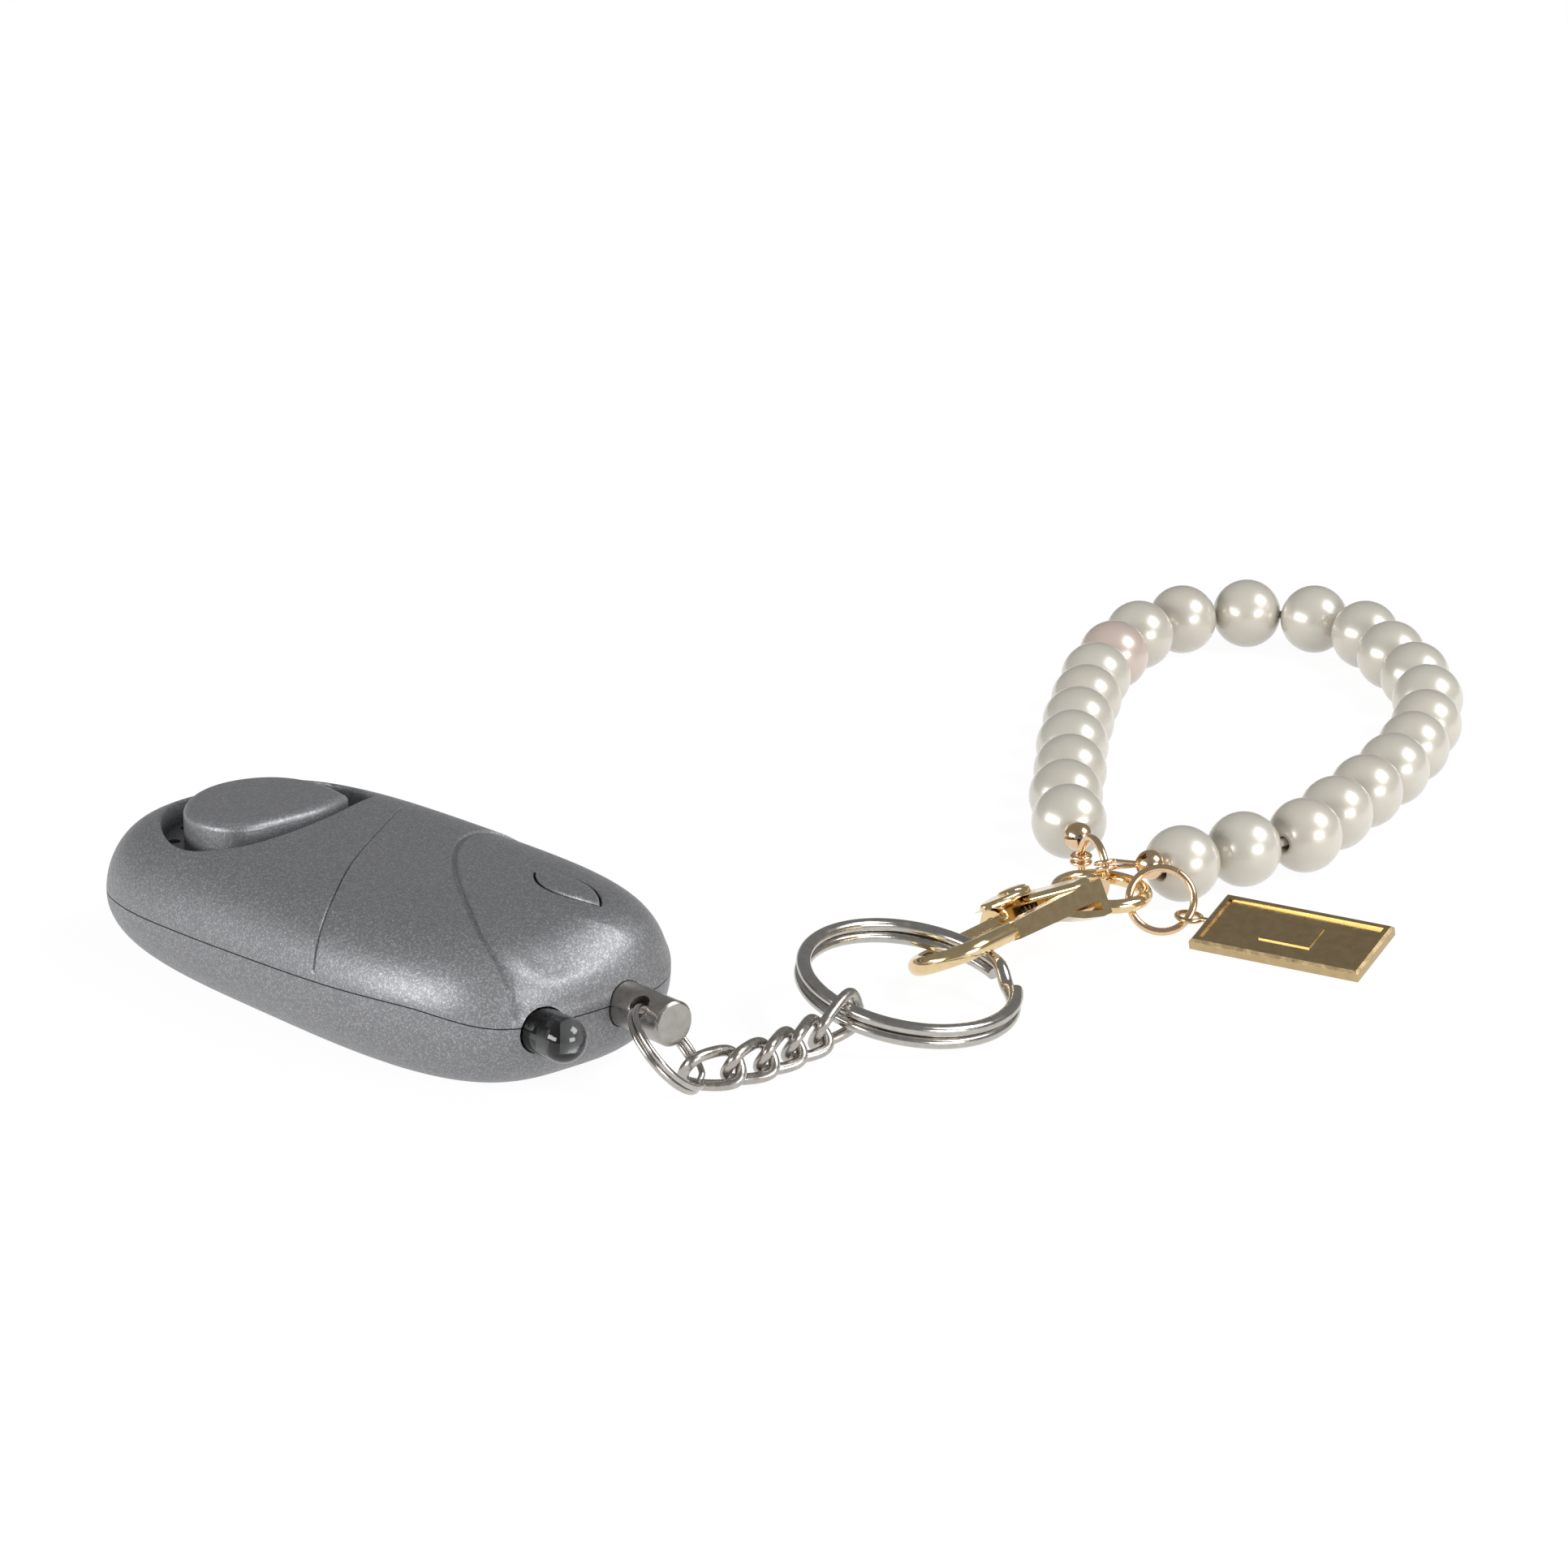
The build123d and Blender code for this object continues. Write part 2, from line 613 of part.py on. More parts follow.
def split_ring(outer, wire, ramp_at, plane, sides):
    """Split ring of two flat coils with one ramp between them: one unbroken wire."""
    radius = outer / 2 - wire / 2
    corner = radius / cos(pi / sides)
    lift = (wire + coil_gap) / 2
    points = []
    for index in range(2 * sides - 1):
        turn = radians(ramp_at) + 2 * pi * (index + 0.5) / sides
        points.append((corner * cos(turn), corner * sin(turn), -lift if index < sides else lift))
    return tube([tuple(plane.from_local_coords(Vector(*p))) for p in points], wire / 2)


# Small split ring through the pin
swing = radians(ring_swing)
drop_axis = Vector(0, -sin(hole_roll), -cos(hole_roll))
ring_out = Vector(1, 0, 0) * cos(swing) + drop_axis * sin(swing)
ring_normal = ring_out.cross(hole_axis)
ring_radius = ring_outer / 2 - ring_wire / 2
ring_centre = hole_centre + ring_out * (ring_radius - pin_diameter ** 2 / 16 / ring_radius)
ring_plane = Plane(origin=ring_centre, x_dir=ring_out, z_dir=ring_normal)
parts["pin_ring"] = split_ring(ring_outer, ring_wire, pin_ring_ramp, ring_plane, pin_ring_sides)


def link_points(pitch, width, twist):
    """Centre line of one curb link: a stadium twisted about the chain's axis."""
    half_pitch, half_side = pitch / 2, (width - link_wire) / 2
    points = []
    shares = [(1, 0.6), (0.6, 1), (-0.6, 1), (-1, 0.6), (-1, -0.6), (-0.6, -1), (0.6, -1), (1, -0.6)]
    for share_x, share_y in shares:
        x = share_x * (half_pitch + link_wire / 2)
        y = share_y * half_side
        turn = radians(twist / 2) * share_x
        points.append((x, y * cos(turn), y * sin(turn)))
    return points


# Chain: each link spans from one contact point to the next
for index in range(len(chain_contacts) - 1):
    start, finish = Vector(*chain_contacts[index]), Vector(*chain_contacts[index + 1])
    along = (finish - start).normalized()
    level = Vector(-along.Y, along.X, 0).normalized()
    last = index == len(chain_contacts) - 2
    width = last_link_width if last else link_width
    twist = last_link_twist if last else link_twist
    roll = radians(last_link_roll if last else link_roll)
    side = level * cos(roll) + along.cross(level) * sin(roll)
    plane = Plane(origin=(start + finish) / 2, x_dir=along, z_dir=along.cross(side))
    shape_points = link_points((finish - start).length + link_slack, width, twist)
    points = [tuple(plane.from_local_coords(Vector(*p))) for p in shape_points]
    parts["chain_link_%d" % (index + 1)] = closed_tube(points, link_wire / 2)

# Key ring
key_up = Vector(-key_rise[0], -key_rise[1], 1).normalized()
key_plane = Plane(origin=key_centre, x_dir=(1, 0, key_rise[0]), z_dir=key_up)
parts["key_ring"] = split_ring(key_outer, key_wire, key_ring_ramp, key_plane, key_ring_sides)

# Snap hook body, drawn flat: x towards the bow, y towards the bar, z up, then laid in its place
hook_along = (Vector(*hook_bow) - Vector(*hook_base)).normalized()
hook_length = (Vector(*hook_bow) - Vector(*hook_base)).length
hook_level = Vector(0, 0, 1).cross(hook_along).normalized()
hook_over = hook_along.cross(hook_level)
tilt = radians(hook_tilt)
hook_up = hook_over * cos(tilt) - hook_level * sin(tilt)
hook_plane = Plane(origin=hook_base, x_dir=hook_along, z_dir=hook_up)
gap = hook_half_gap
rod_radius = hook_rod / 2
bow_route = Line((bar_length - hook_rod, gap, 0), (hook_length, gap, 0)).edges()
bow_bend = ThreePointArc((hook_length, gap, 0), (hook_length + gap, 0, 0), (hook_length, -gap, 0))
bow_route = bow_route + bow_bend.edges()
bow_route = bow_route + Line((hook_length, -gap, 0), (hook_length - nose_length, -gap, 0)).edges()
bow_section = Plane(origin=(bar_length - hook_rod, gap, 0), z_dir=(1, 0, 0)) * Circle(rod_radius)
bow = sweep(bow_section, path=Wire(bow_route))
bar_shares = [(0, 0.3), (1, 0.26), (1, -0.28), (0.46, -0.32), (0.3, -0.58), (0.1, -0.78), (0, -0.78)]
bar_points = [(share_x * bar_length, 0, share_z * base_thick) for share_x, share_z in bar_shares]
bar_side = gap + bar_width / 2
bar_face = Pos(0, bar_side, 0) * make_face(Polyline(*bar_points, close=True))
bar = extrude(bar_face, amount=bar_width, dir=(0, -1, 0))
slit_shares = [(0.08, -0.3), (0.4, -0.24), (0.08, -0.6)]
slit_points = [(share_x * bar_length, 0, share_z * base_thick) for share_x, share_z in slit_shares]
slit_face = Pos(0, bar_side + wall, 0) * make_face(Polyline(*slit_points, close=True))
slit = extrude(slit_face, amount=bar_width + 2 * wall, dir=(0, -1, 0))
base_low = -gap - barrel_side / 2
base_high = gap + bar_width / 2
base_middle = (base_high + base_low) / 2
base = block(base_length, base_high - base_low, base_thick, (base_length / 2, base_middle, 0))
base = fillet(base.edges().filter_by(Axis.Z).group_by(Axis.X)[0], base_length * 0.6)
base = fillet(base.edges().group_by(Axis.Z)[-1], base_thick / 5)
barrel_box = block(barrel_end - collar_length - barrel_start, barrel_side, barrel_side,
                   ((barrel_end - collar_length + barrel_start) / 2, -gap, 0))
barrel_box = chamfer(barrel_box.edges().filter_by(Axis.X), barrel_side / 8)
barrel_collar = rod(barrel_side / 2, (barrel_end - collar_length, -gap, 0), (barrel_end, -gap, 0))
bore = rod(bore_diameter / 2, (bore_start, -gap, 0), (bore_end, -gap, 0))
front_hole = rod(bolt_rod / 2 + fit_clearance, (bore_end, -gap, 0), (barrel_end + collar_length, -gap, 0))
slot_width = 1.5
stem_start = piston_start + fit_clearance
stem_length = piston_length - 2 * fit_clearance
slot = block(stem_length + bolt_travel + 2 * fit_clearance, slot_width, barrel_side,
             (stem_start + stem_length / 2 - bolt_travel / 2, -gap, barrel_side / 2))
window_start = 1.6
window_length = 3.6
window_x = window_start + window_length / 2
window = block(window_length, barrel_side, bolt_rod, (window_x, -gap + barrel_side / 2, 0))
window = window - block(2 * window_length, wall, barrel_side, (window_start, bar_side, 0))
stem_length_in = 2.6
head_length = 0.8
stem_hole = rod(stem_diameter / 2 + fit_clearance, (-wall, 0, 0), (stem_length_in, 0, 0))
head_room = rod(stem_head_diameter / 2 + fit_clearance, (stem_length_in - head_length - fit_clearance, 0, 0),
                (stem_length_in + fit_clearance, 0, 0))
hook_solid = base + bar + bow + barrel_box + barrel_collar
hook_solid = hook_solid - slit - bore - front_hole - slot - window - stem_hole - head_room
parts["hook_body"] = hook_plane * one(hook_solid)

# Bolt with its thumb plate, and the spring behind it
nose_end = hook_length - nose_length
bolt = rod(piston_diameter / 2, (piston_start, -gap, 0), (piston_start + piston_length, -gap, 0))
bolt = bolt + rod(bolt_rod / 2, (piston_start, -gap, 0), (nose_end - fit_clearance, -gap, 0))
plate_low = barrel_side / 2 + thumb_lift
bolt = bolt + block(stem_length, slot_width - 2 * fit_clearance, plate_low,
                    (stem_start + stem_length / 2, -gap, plate_low / 2))
plate_x = thumb_start + thumb_length / 2
plate = block(thumb_length, thumb_width, thumb_thick, (plate_x, -gap, plate_low + thumb_thick / 2))
plate = fillet(plate.edges().filter_by(Axis.Z), thumb_width * 0.42)
pad_x = thumb_start + thumb_width / 2
pad = rod(thumb_width / 2, (pad_x, -gap, plate_low), (pad_x, -gap, plate_low + 2 * thumb_thick))
pad_dish = rod(thumb_width / 2 - thumb_thick, (pad_x, -gap, plate_low + 1.5 * thumb_thick),
               (pad_x, -gap, overrun))
parts["hook_bolt"] = hook_plane * one(bolt + plate + pad - pad_dish)


def coil_spring(mean_radius, wire, pitch, turns, axis_y, start_x):
    """Coil spring along x as one unbroken tube on half-turn arcs."""
    edges = []
    rise = pitch / 2
    for half in range(2 * turns):
        side = 1 if half % 2 == 0 else -1
        near = start_x + half * rise
        a = (near, axis_y, side * mean_radius)
        b = (near + rise / 2, axis_y + side * mean_radius, 0)
        c = (near + rise, axis_y, -side * mean_radius)
        edges += ThreePointArc(a, b, c).edges()
    path = Wire(edges)
    return sweep(Plane(origin=path @ 0, z_dir=path % 0) * Circle(wire / 2), path=path).solid()


spring_mean = (spring_outer - spring_wire) / 2
spring_start = bore_start + fit_clearance + spring_wire / 2
spring = coil_spring(spring_mean, spring_wire, spring_pitch, spring_turns, -gap, spring_start)
parts["bolt_spring"] = hook_plane * spring
print("spring: gap between turns", round(spring_pitch - spring_wire, 2))

# Swivel eye: oval ring lying level, with a stem that turns in the hook's base
eye_x, eye_y, eye_z = eye_centre
eye_sides = 12
eye_corner = 1 / cos(pi / eye_sides)
eye_reach_x = (eye_width - eye_wire) / 2 * eye_corner
eye_reach_y = (eye_length - eye_wire) / 2 * eye_corner
eye_turns = [2 * pi * (index + 0.5) / eye_sides for index in range(eye_sides)]
eye_points = [(eye_x + eye_reach_x * cos(turn), eye_y + eye_reach_y * sin(turn), eye_z) for turn in eye_turns]
eye_loop = closed_tube(eye_points, eye_wire / 2)
eye_reach = -(Vector(*eye_centre) - Vector(*hook_base)).dot(hook_along) - eye_length / 2 + eye_wire
stem = rod(stem_diameter / 2, (-eye_reach, 0, 0), (stem_length_in, 0, 0))
stem = stem + rod(stem_head_diameter / 2, (stem_length_in - head_length, 0, 0), (stem_length_in, 0, 0))
parts["swivel_eye"] = one(eye_loop + hook_plane * stem)


def jump_ring(outer, wire, plane):
    return plane * Solid.make_torus(outer / 2 - wire / 2, wire / 2)


# Jump rings of the strand and of the charm
up = Vector(0, 0, 1)
strand_out = Vector(*strand_ring_along).normalized()
strand_plane = Plane(origin=strand_ring_centre, x_dir=strand_out, z_dir=strand_out.cross(up))
parts["strand_ring"] = jump_ring(strand_ring_outer, jump_wire, strand_plane)
charm_normal = Vector(*charm_ring_normal).normalized()
charm_level = up.cross(charm_normal).normalized()
charm_plane = Plane(origin=charm_ring_centre, x_dir=charm_level, z_dir=charm_normal)
parts["charm_ring"] = jump_ring(charm_ring_outer, jump_wire, charm_plane)

# Charm: a rimmed bar with a soldered loop that the second jump ring goes through
hole_turn = radians(charm_hole)
charm_mean = charm_ring_outer / 2 - jump_wire / 2
charm_up_ring = charm_normal.cross(charm_level)
charm_out = charm_level * cos(hole_turn) + charm_up_ring * sin(hole_turn)
charm_point = Vector(*charm_ring_centre) + charm_out * charm_mean
charm_tangent = charm_up_ring * cos(hole_turn) - charm_level * sin(hole_turn)
charm_x = Vector(*charm_along).normalized()
charm_z = charm_x.cross(Vector(*charm_across)).normalized()
charm_frame = Plane(origin=charm_point, x_dir=charm_x, z_dir=charm_z)
bar_middle = charm_start + charm_length / 2
charm = block(charm_length, charm_width, charm_thick, (bar_middle, 0, 0))
charm = chamfer(charm.edges().group_by(Axis.Z)[-1], charm_recess)
charm_dip = block(charm_length - 2 * charm_rim, charm_width - 2 * charm_rim, charm_recess,
                  (bar_middle, 0, charm_thick / 2 - charm_recess / 2))
charm_boss = block(charm_length * 0.3, charm_width * 0.4, charm_recess,
                   (bar_middle, 0, charm_thick / 2 - charm_recess))
loop_mean = charm_loop_outer / 2 - charm_loop_wire / 2
loop_axis = (charm_z + charm_tangent * 0.5).normalized()
loop_flat = (charm_x - loop_axis * charm_x.dot(loop_axis)).normalized()
loop_plane = Plane(origin=charm_point, x_dir=loop_flat, z_dir=loop_axis)
charm_loop = loop_plane * Solid.make_torus(loop_mean, charm_loop_wire / 2)
neck = charm_frame * rod(charm_loop_wire / 2, (loop_mean, 0, 0), (charm_start + charm_rim, 0, 0))
charm_bar = (charm_frame * (charm - charm_dip + charm_boss)) + charm_loop + neck
parts["charm_bar"] = one(charm_bar)


def calotte(centre, cord_point, ring_point, ring_tangent):
    """Clamshell bead tip: a slotted hollow ball with two stacked loops round the jump ring."""
    centre, ring_point, axis = Vector(*centre), Vector(*ring_point), Vector(*ring_tangent).normalized()
    outer = calotte_diameter / 2
    inner = outer - calotte_wall
    low = asin((cord_diameter / 2 + fit_clearance) / inner)
    high = pi - low / 2
    middle = (low + high) / 2
    corners = [(radius * sin(turn), 0, radius * cos(turn))
               for radius, turn in ((outer, low), (outer, middle), (outer, high),
                                    (inner, high), (inner, middle), (inner, low))]
    profile = [ThreePointArc(*corners[:3]).edge(), Line(corners[2], corners[3]).edge(),
               ThreePointArc(*corners[3:]).edge(), Line(corners[5], corners[0]).edge()]
    shell = revolve(make_face(profile), axis=Axis.Z)
    mouth = block(calotte_diameter, calotte_wall, 2 * calotte_diameter, (outer, 0, 0))
    cord_out = (Vector(*cord_point) - centre).normalized()
    shape = Plane(origin=centre, x_dir=axis.cross(cord_out), z_dir=cord_out) * (shell - mouth)
    along = ring_point - centre
    flat = (along - axis * along.dot(axis)).normalized()
    mean = loop_outer / 2 - loop_wire / 2
    lift = loop_wire / 2 + fit_clearance
    for side in (-1, 1):
        loop_centre = ring_point + axis * side * lift
        loop = Plane(origin=loop_centre, x_dir=flat, z_dir=axis) * Solid.make_torus(mean, loop_wire / 2)
        start = loop_centre - flat * mean
        towards = (centre - start).normalized()
        finish = centre - towards * (inner + calotte_wall / 2)
        shape = shape + loop + rod(loop_wire / 2, tuple(start), tuple(finish))
    return one(shape)


strand_mean = strand_ring_outer / 2 - jump_wire / 2
right_loop_turn = 25.0
right_turn = radians(right_loop_turn)
left_point = Vector(*strand_ring_centre) - strand_out * strand_mean
right_arm = strand_out * cos(right_turn) + up * sin(right_turn)
right_point = Vector(*strand_ring_centre) + right_arm * strand_mean
right_tangent = up * cos(right_turn) - strand_out * sin(right_turn)

# Strand: the cord runs straight through each pearl and turns between them
junctions = [(20.8, 84.9), (13.2, 89.9), (7.1, 96.9), (0.6, 103.3), (-5.8, 109.9), (-11.5, 116.9),
             (-17.3, 123.6), (-22.9, 131.1), (-27.1, 139.2), (-30.7, 147.6), (-29.3, 156.8),
             (-23.4, 163.7), (-14.4, 166.4), (-5.6, 164.0), (1.7, 159.0), (10.2, 156.0),
             (16.4, 147.9), (23.4, 141.5), (26.1, 133.1), (31.6, 125.8), (32.9, 116.7),
             (37.8, 109.2), (39.0, 100.1), (35.3, 91.7), (36.7, 82.5)]
strand_z = pearl_diameter / 2
cord_route = [calotte_left] + [(x, y, strand_z) for x, y in junctions] + [calotte_right]
cord_line = FilletPolyline(*cord_route, radius=arc_radii(cord_route))
cord = tube(cord_route, cord_diameter / 2)
section = pi * cord_diameter ** 2 / 4
print("cord radii", [round(value, 1) for value in arc_radii(cord_route)])
print("cord volume", round(cord.volume, 2), "section times length", round(section * cord_line.length, 2))
parts["calotte_left"] = calotte(calotte_left, cord_route[1], tuple(left_point), tuple(up))
parts["calotte_right"] = calotte(calotte_right, cord_route[-2], tuple(right_point), tuple(right_tangent))
parts["strand_cord"] = cord
pearl = Sphere(pearl_diameter / 2) - rod(pearl_bore / 2, (0, 0, -pearl_diameter), (0, 0, pearl_diameter))
for index in range(len(junctions) - 1):
    (ax, ay), (bx, by) = junctions[index], junctions[index + 1]
    pearl_centre = ((ax + bx) / 2, (ay + by) / 2, strand_z)
    pearl_plane = Plane(origin=pearl_centre, x_dir=(0, 0, 1), z_dir=(bx - ax, by - ay, 0))
    parts["pearl_%02d" % (index + 1)] = pearl_plane * one(pearl)

for name, shape in parts.items():
    export_step(shape, "parts/" + name + ".step")
print(len(parts), "nodes")
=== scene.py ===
# %% [markdown]
# This lesson dresses a pocket safety alarm. The real object is a silver moulded casing with a clear lamp and a
# steel pull pin in its nose. A short curb chain ties the pin to a split ring, and the split ring holds a gold
# snap hook with a flat charm and a strand of pearls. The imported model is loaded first, because every piece below
# is built around its sizes and rides on its bodies.

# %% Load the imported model
import math
import bmesh
import bpy
import numpy as np
from mathutils import Matrix, Vector


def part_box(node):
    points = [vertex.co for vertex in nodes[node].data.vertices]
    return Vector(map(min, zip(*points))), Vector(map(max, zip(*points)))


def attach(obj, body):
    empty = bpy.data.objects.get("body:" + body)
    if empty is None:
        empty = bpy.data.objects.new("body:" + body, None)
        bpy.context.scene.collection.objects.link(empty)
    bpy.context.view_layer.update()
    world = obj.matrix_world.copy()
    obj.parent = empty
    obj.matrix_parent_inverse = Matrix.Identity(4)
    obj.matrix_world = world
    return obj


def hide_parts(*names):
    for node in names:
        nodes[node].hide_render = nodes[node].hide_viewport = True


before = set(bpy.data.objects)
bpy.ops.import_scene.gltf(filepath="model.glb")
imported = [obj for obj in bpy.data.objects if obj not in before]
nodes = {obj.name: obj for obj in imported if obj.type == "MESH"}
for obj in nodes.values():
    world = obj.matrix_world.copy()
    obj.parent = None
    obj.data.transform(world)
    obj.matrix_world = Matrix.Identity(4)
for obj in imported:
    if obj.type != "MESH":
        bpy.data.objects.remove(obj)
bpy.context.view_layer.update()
scene = bpy.context.scene
scene.view_settings.view_transform = "Standard"
MM = 0.001

# %% [markdown]
# The camera stands where the photographer stood: half a metre in front of the casing's nose and a little above
# it, with a long lens. A long lens keeps the far pearls nearly as large as the near ones.


# %% Camera
def placed(name, data):
    """An object in the scene that holds some data."""
    obj = bpy.data.objects.new(name, data)
    scene.collection.objects.link(obj)
    return obj


PHOTO_SPOT = (0.5009, -0.3783, 0.2410)
PHOTO_LOOK = (-0.7125, 0.6209, -0.3269)
PHOTO_LENS = 140.29
camera_data = bpy.data.cameras.new("photo_camera")
camera_data.sensor_width = 36.0
camera_data.lens = PHOTO_LENS
camera_data.clip_end = 20.0
camera = placed("photo_camera", camera_data)
camera.location = PHOTO_SPOT
camera.rotation_euler = Vector(PHOTO_LOOK).to_track_quat("-Z", "Y").to_euler()
scene.camera = camera
print("camera looks along", PHOTO_LOOK)

# %% [markdown]
# Small objects like this are lit with a few soft boxes over a table, and the picture's background is cleaned to
# plain white. Rounded metal and pearls still show the real surroundings: a white table below and a darker room
# above. So the table glows white to the camera and in reflections and keeps a faint shadow, and the air is dark.


# %% Table and world
def add_node(tree, kind, values=(), **settings):
    """Adds a node, with its plain properties and then the values of its own inputs."""
    node = tree.nodes.new(kind)
    for key, value in settings.items():
        setattr(node, key, value)
    for socket, value in dict(values).items():
        node.inputs[socket].default_value = value
    return node


def link_nodes(tree, *links):
    """Joins sockets; each link says from which node and output, to which node and input."""
    for source, output, target, socket in links:
        tree.links.new(source.outputs[output], target.inputs[socket])


TABLE_SIZE, TABLE_LEVEL = 6.0, -0.00005
TABLE_COLOUR = (0.86, 0.86, 0.855, 1.0)
TABLE_SEEN, TABLE_REFLECTED = 1.05, 0.95
SHADOW_FREE = 0.9
WORLD_GREY = 0.26
bpy.ops.mesh.primitive_plane_add(size=TABLE_SIZE, location=(0, 0, TABLE_LEVEL))
table = bpy.context.object
table.name = "table"
table_material = bpy.data.materials.new("table_white")
table_material.use_nodes = True
tree = table_material.node_tree
tree.nodes.clear()
rays = add_node(tree, "ShaderNodeLightPath")
paper = add_node(tree, "ShaderNodeBsdfDiffuse", {"Color": TABLE_COLOUR})
brightness = add_node(tree, "ShaderNodeMapRange", {"To Min": TABLE_REFLECTED, "To Max": TABLE_SEEN})
glow = add_node(tree, "ShaderNodeEmission")
seen = add_node(tree, "ShaderNodeMath", {1: SHADOW_FREE}, operation="MULTIPLY_ADD", use_clamp=True)
seen_through = add_node(tree, "ShaderNodeMath", operation="ADD", use_clamp=True)
blend_paper = add_node(tree, "ShaderNodeMixShader")
surface_out = add_node(tree, "ShaderNodeOutputMaterial")
link_nodes(tree, (rays, "Is Camera Ray", brightness, "Value"), (brightness, 0, glow, "Strength"),
           (rays, "Is Camera Ray", seen, 0), (rays, "Is Glossy Ray", seen, 2), (seen, 0, seen_through, 0),
           (rays, "Is Transmission Ray", seen_through, 1), (seen_through, 0, blend_paper, 0),
           (paper, 0, blend_paper, 1), (glow, 0, blend_paper, 2), (blend_paper, 0, surface_out, 0))
table.data.materials.append(table_material)

world = bpy.data.worlds.new("tent")
world.use_nodes = True
tree = world.node_tree
air = tree.nodes["Background"]
air.inputs["Color"].default_value = (1.0, 1.0, 1.0, 1.0)
rays = add_node(tree, "ShaderNodeLightPath")
level = add_node(tree, "ShaderNodeMapRange", {"To Min": WORLD_GREY, "To Max": 1.0})
link_nodes(tree, (rays, "Is Camera Ray", level, "Value"), (level, 0, air, "Strength"))
scene.world = world
print("table", TABLE_SIZE, "m wide")

# %% [markdown]
# Three soft boxes stand round the table: a high one on the right, a long low one on the left that draws the line
# of light along the casing's side, and one before the nose. A bare bulb would leave hard points on the pearls,
# so each lamp is a wide rectangle.


# %% Lamps
def soft_box(name, spot, size, watts):
    """A rectangular area lamp at a spot, turned towards the middle of the set."""
    data = bpy.data.lights.new(name, "AREA")
    data.shape = "RECTANGLE"
    data.size, data.size_y = size
    data.energy = watts
    lamp = placed(name, data)
    lamp.location = spot
    lamp.rotation_euler = (SET_MIDDLE - Vector(spot)).to_track_quat("-Z", "Y").to_euler()


SET_MIDDLE = Vector((0.03, 0.06, 0.0))
soft_box("key_box", (0.5, 0.46, 0.64), (0.45, 0.4), 5.0)
soft_box("left_box", (-0.15, -0.95, 0.3), (0.9, 0.3), 8.6)
soft_box("front_box", (1.0, 0.1, 0.25), (0.5, 0.3), 4.5)
print("soft boxes", len(bpy.data.lights))

# %% [markdown]
# Paint, plating and pearl all have fine variation that a flat colour lacks. The shared effects are built once as
# node groups: an even grain, which gives smudges where its scale is large, a scatter of bright flakes, and drawn
# marks. Each group only gives a mask, so every material decides by itself what the mask does.


# %% Shared effects
def effect_group(name, values):
    """A shader node group that makes a mask from a vector and numbers; returns it and its two ends."""
    tree = bpy.data.node_groups.new(name, "ShaderNodeTree")
    tree.interface.new_socket(name="Vector", in_out="INPUT", socket_type="NodeSocketVector")
    for label, value in values.items():
        socket = tree.interface.new_socket(name=label, in_out="INPUT", socket_type="NodeSocketFloat")
        socket.default_value = value
    tree.interface.new_socket(name="Mask", in_out="OUTPUT", socket_type="NodeSocketFloat")
    return tree, add_node(tree, "NodeGroupInput"), add_node(tree, "NodeGroupOutput")


grain_group, start, finish = effect_group("fine_grain", {"Scale": 1000.0, "Contrast": 1.0})
noise = add_node(grain_group, "ShaderNodeTexNoise", {"Detail": 2.0, "Roughness": 0.6})
centred = add_node(grain_group, "ShaderNodeMath", {1: 0.5}, operation="SUBTRACT")
spread = add_node(grain_group, "ShaderNodeMath", {2: 0.5}, operation="MULTIPLY_ADD", use_clamp=True)
link_nodes(grain_group, (start, "Vector", noise, "Vector"), (start, "Scale", noise, "Scale"),
           (noise, "Fac", centred, 0), (centred, 0, spread, 0), (start, "Contrast", spread, 1),
           (spread, 0, finish, "Mask"))

flake_group, start, finish = effect_group("paint_flake", {"Scale": 6000.0, "Threshold": 0.8})
cells = add_node(flake_group, "ShaderNodeTexVoronoi")
split_cells = add_node(flake_group, "ShaderNodeSeparateColor")
bright = add_node(flake_group, "ShaderNodeMapRange", clamp=True)
link_nodes(flake_group, (start, "Vector", cells, "Vector"), (start, "Scale", cells, "Scale"),
           (cells, "Color", split_cells, 0), (split_cells, 0, bright, "Value"),
           (start, "Threshold", bright, "From Min"), (bright, 0, finish, "Mask"))

mark_group, start, finish = effect_group("drawn_marks", {"Scale": 2000.0, "Stretch": 0.05})
squeeze = add_node(mark_group, "ShaderNodeCombineXYZ", {"Y": 1.0, "Z": 1.0})
stretch = add_node(mark_group, "ShaderNodeVectorMath", operation="MULTIPLY")
lines = add_node(mark_group, "ShaderNodeTexNoise", {"Detail": 3.0})
link_nodes(mark_group, (start, "Stretch", squeeze, "X"), (start, "Vector", stretch, 0), (squeeze, 0, stretch, 1),
           (stretch, 0, lines, "Vector"), (start, "Scale", lines, "Scale"), (lines, "Fac", finish, "Mask"))
print("effects", grain_group.name, flake_group.name, mark_group.name)

# %% [markdown]
# Every finish is one Principled shader whose colour, gloss and bump are fed by those masks. The helpers make the
# shader, place an effect on the piece's own coordinates, and join a mask to a socket, so a finish takes only a
# few lines. Painting an image for each piece would need unwrapped surfaces and show seams.


# %% Material helpers
def new_finish(name, colour, metallic=0.0, roughness=0.5, **sockets):
    """A Principled material; other sockets are set by name. Returns the material, its tree and its shader."""
    material = bpy.data.materials.new(name)
    material.use_nodes = True
    tree = material.node_tree
    shader = tree.nodes["Principled BSDF"]
    sockets.update(Base_Color=(*colour, 1.0), Metallic=metallic, Roughness=roughness)
    for label, value in sockets.items():
        shader.inputs[label.replace("_", " ")].default_value = value
    return material, tree, shader


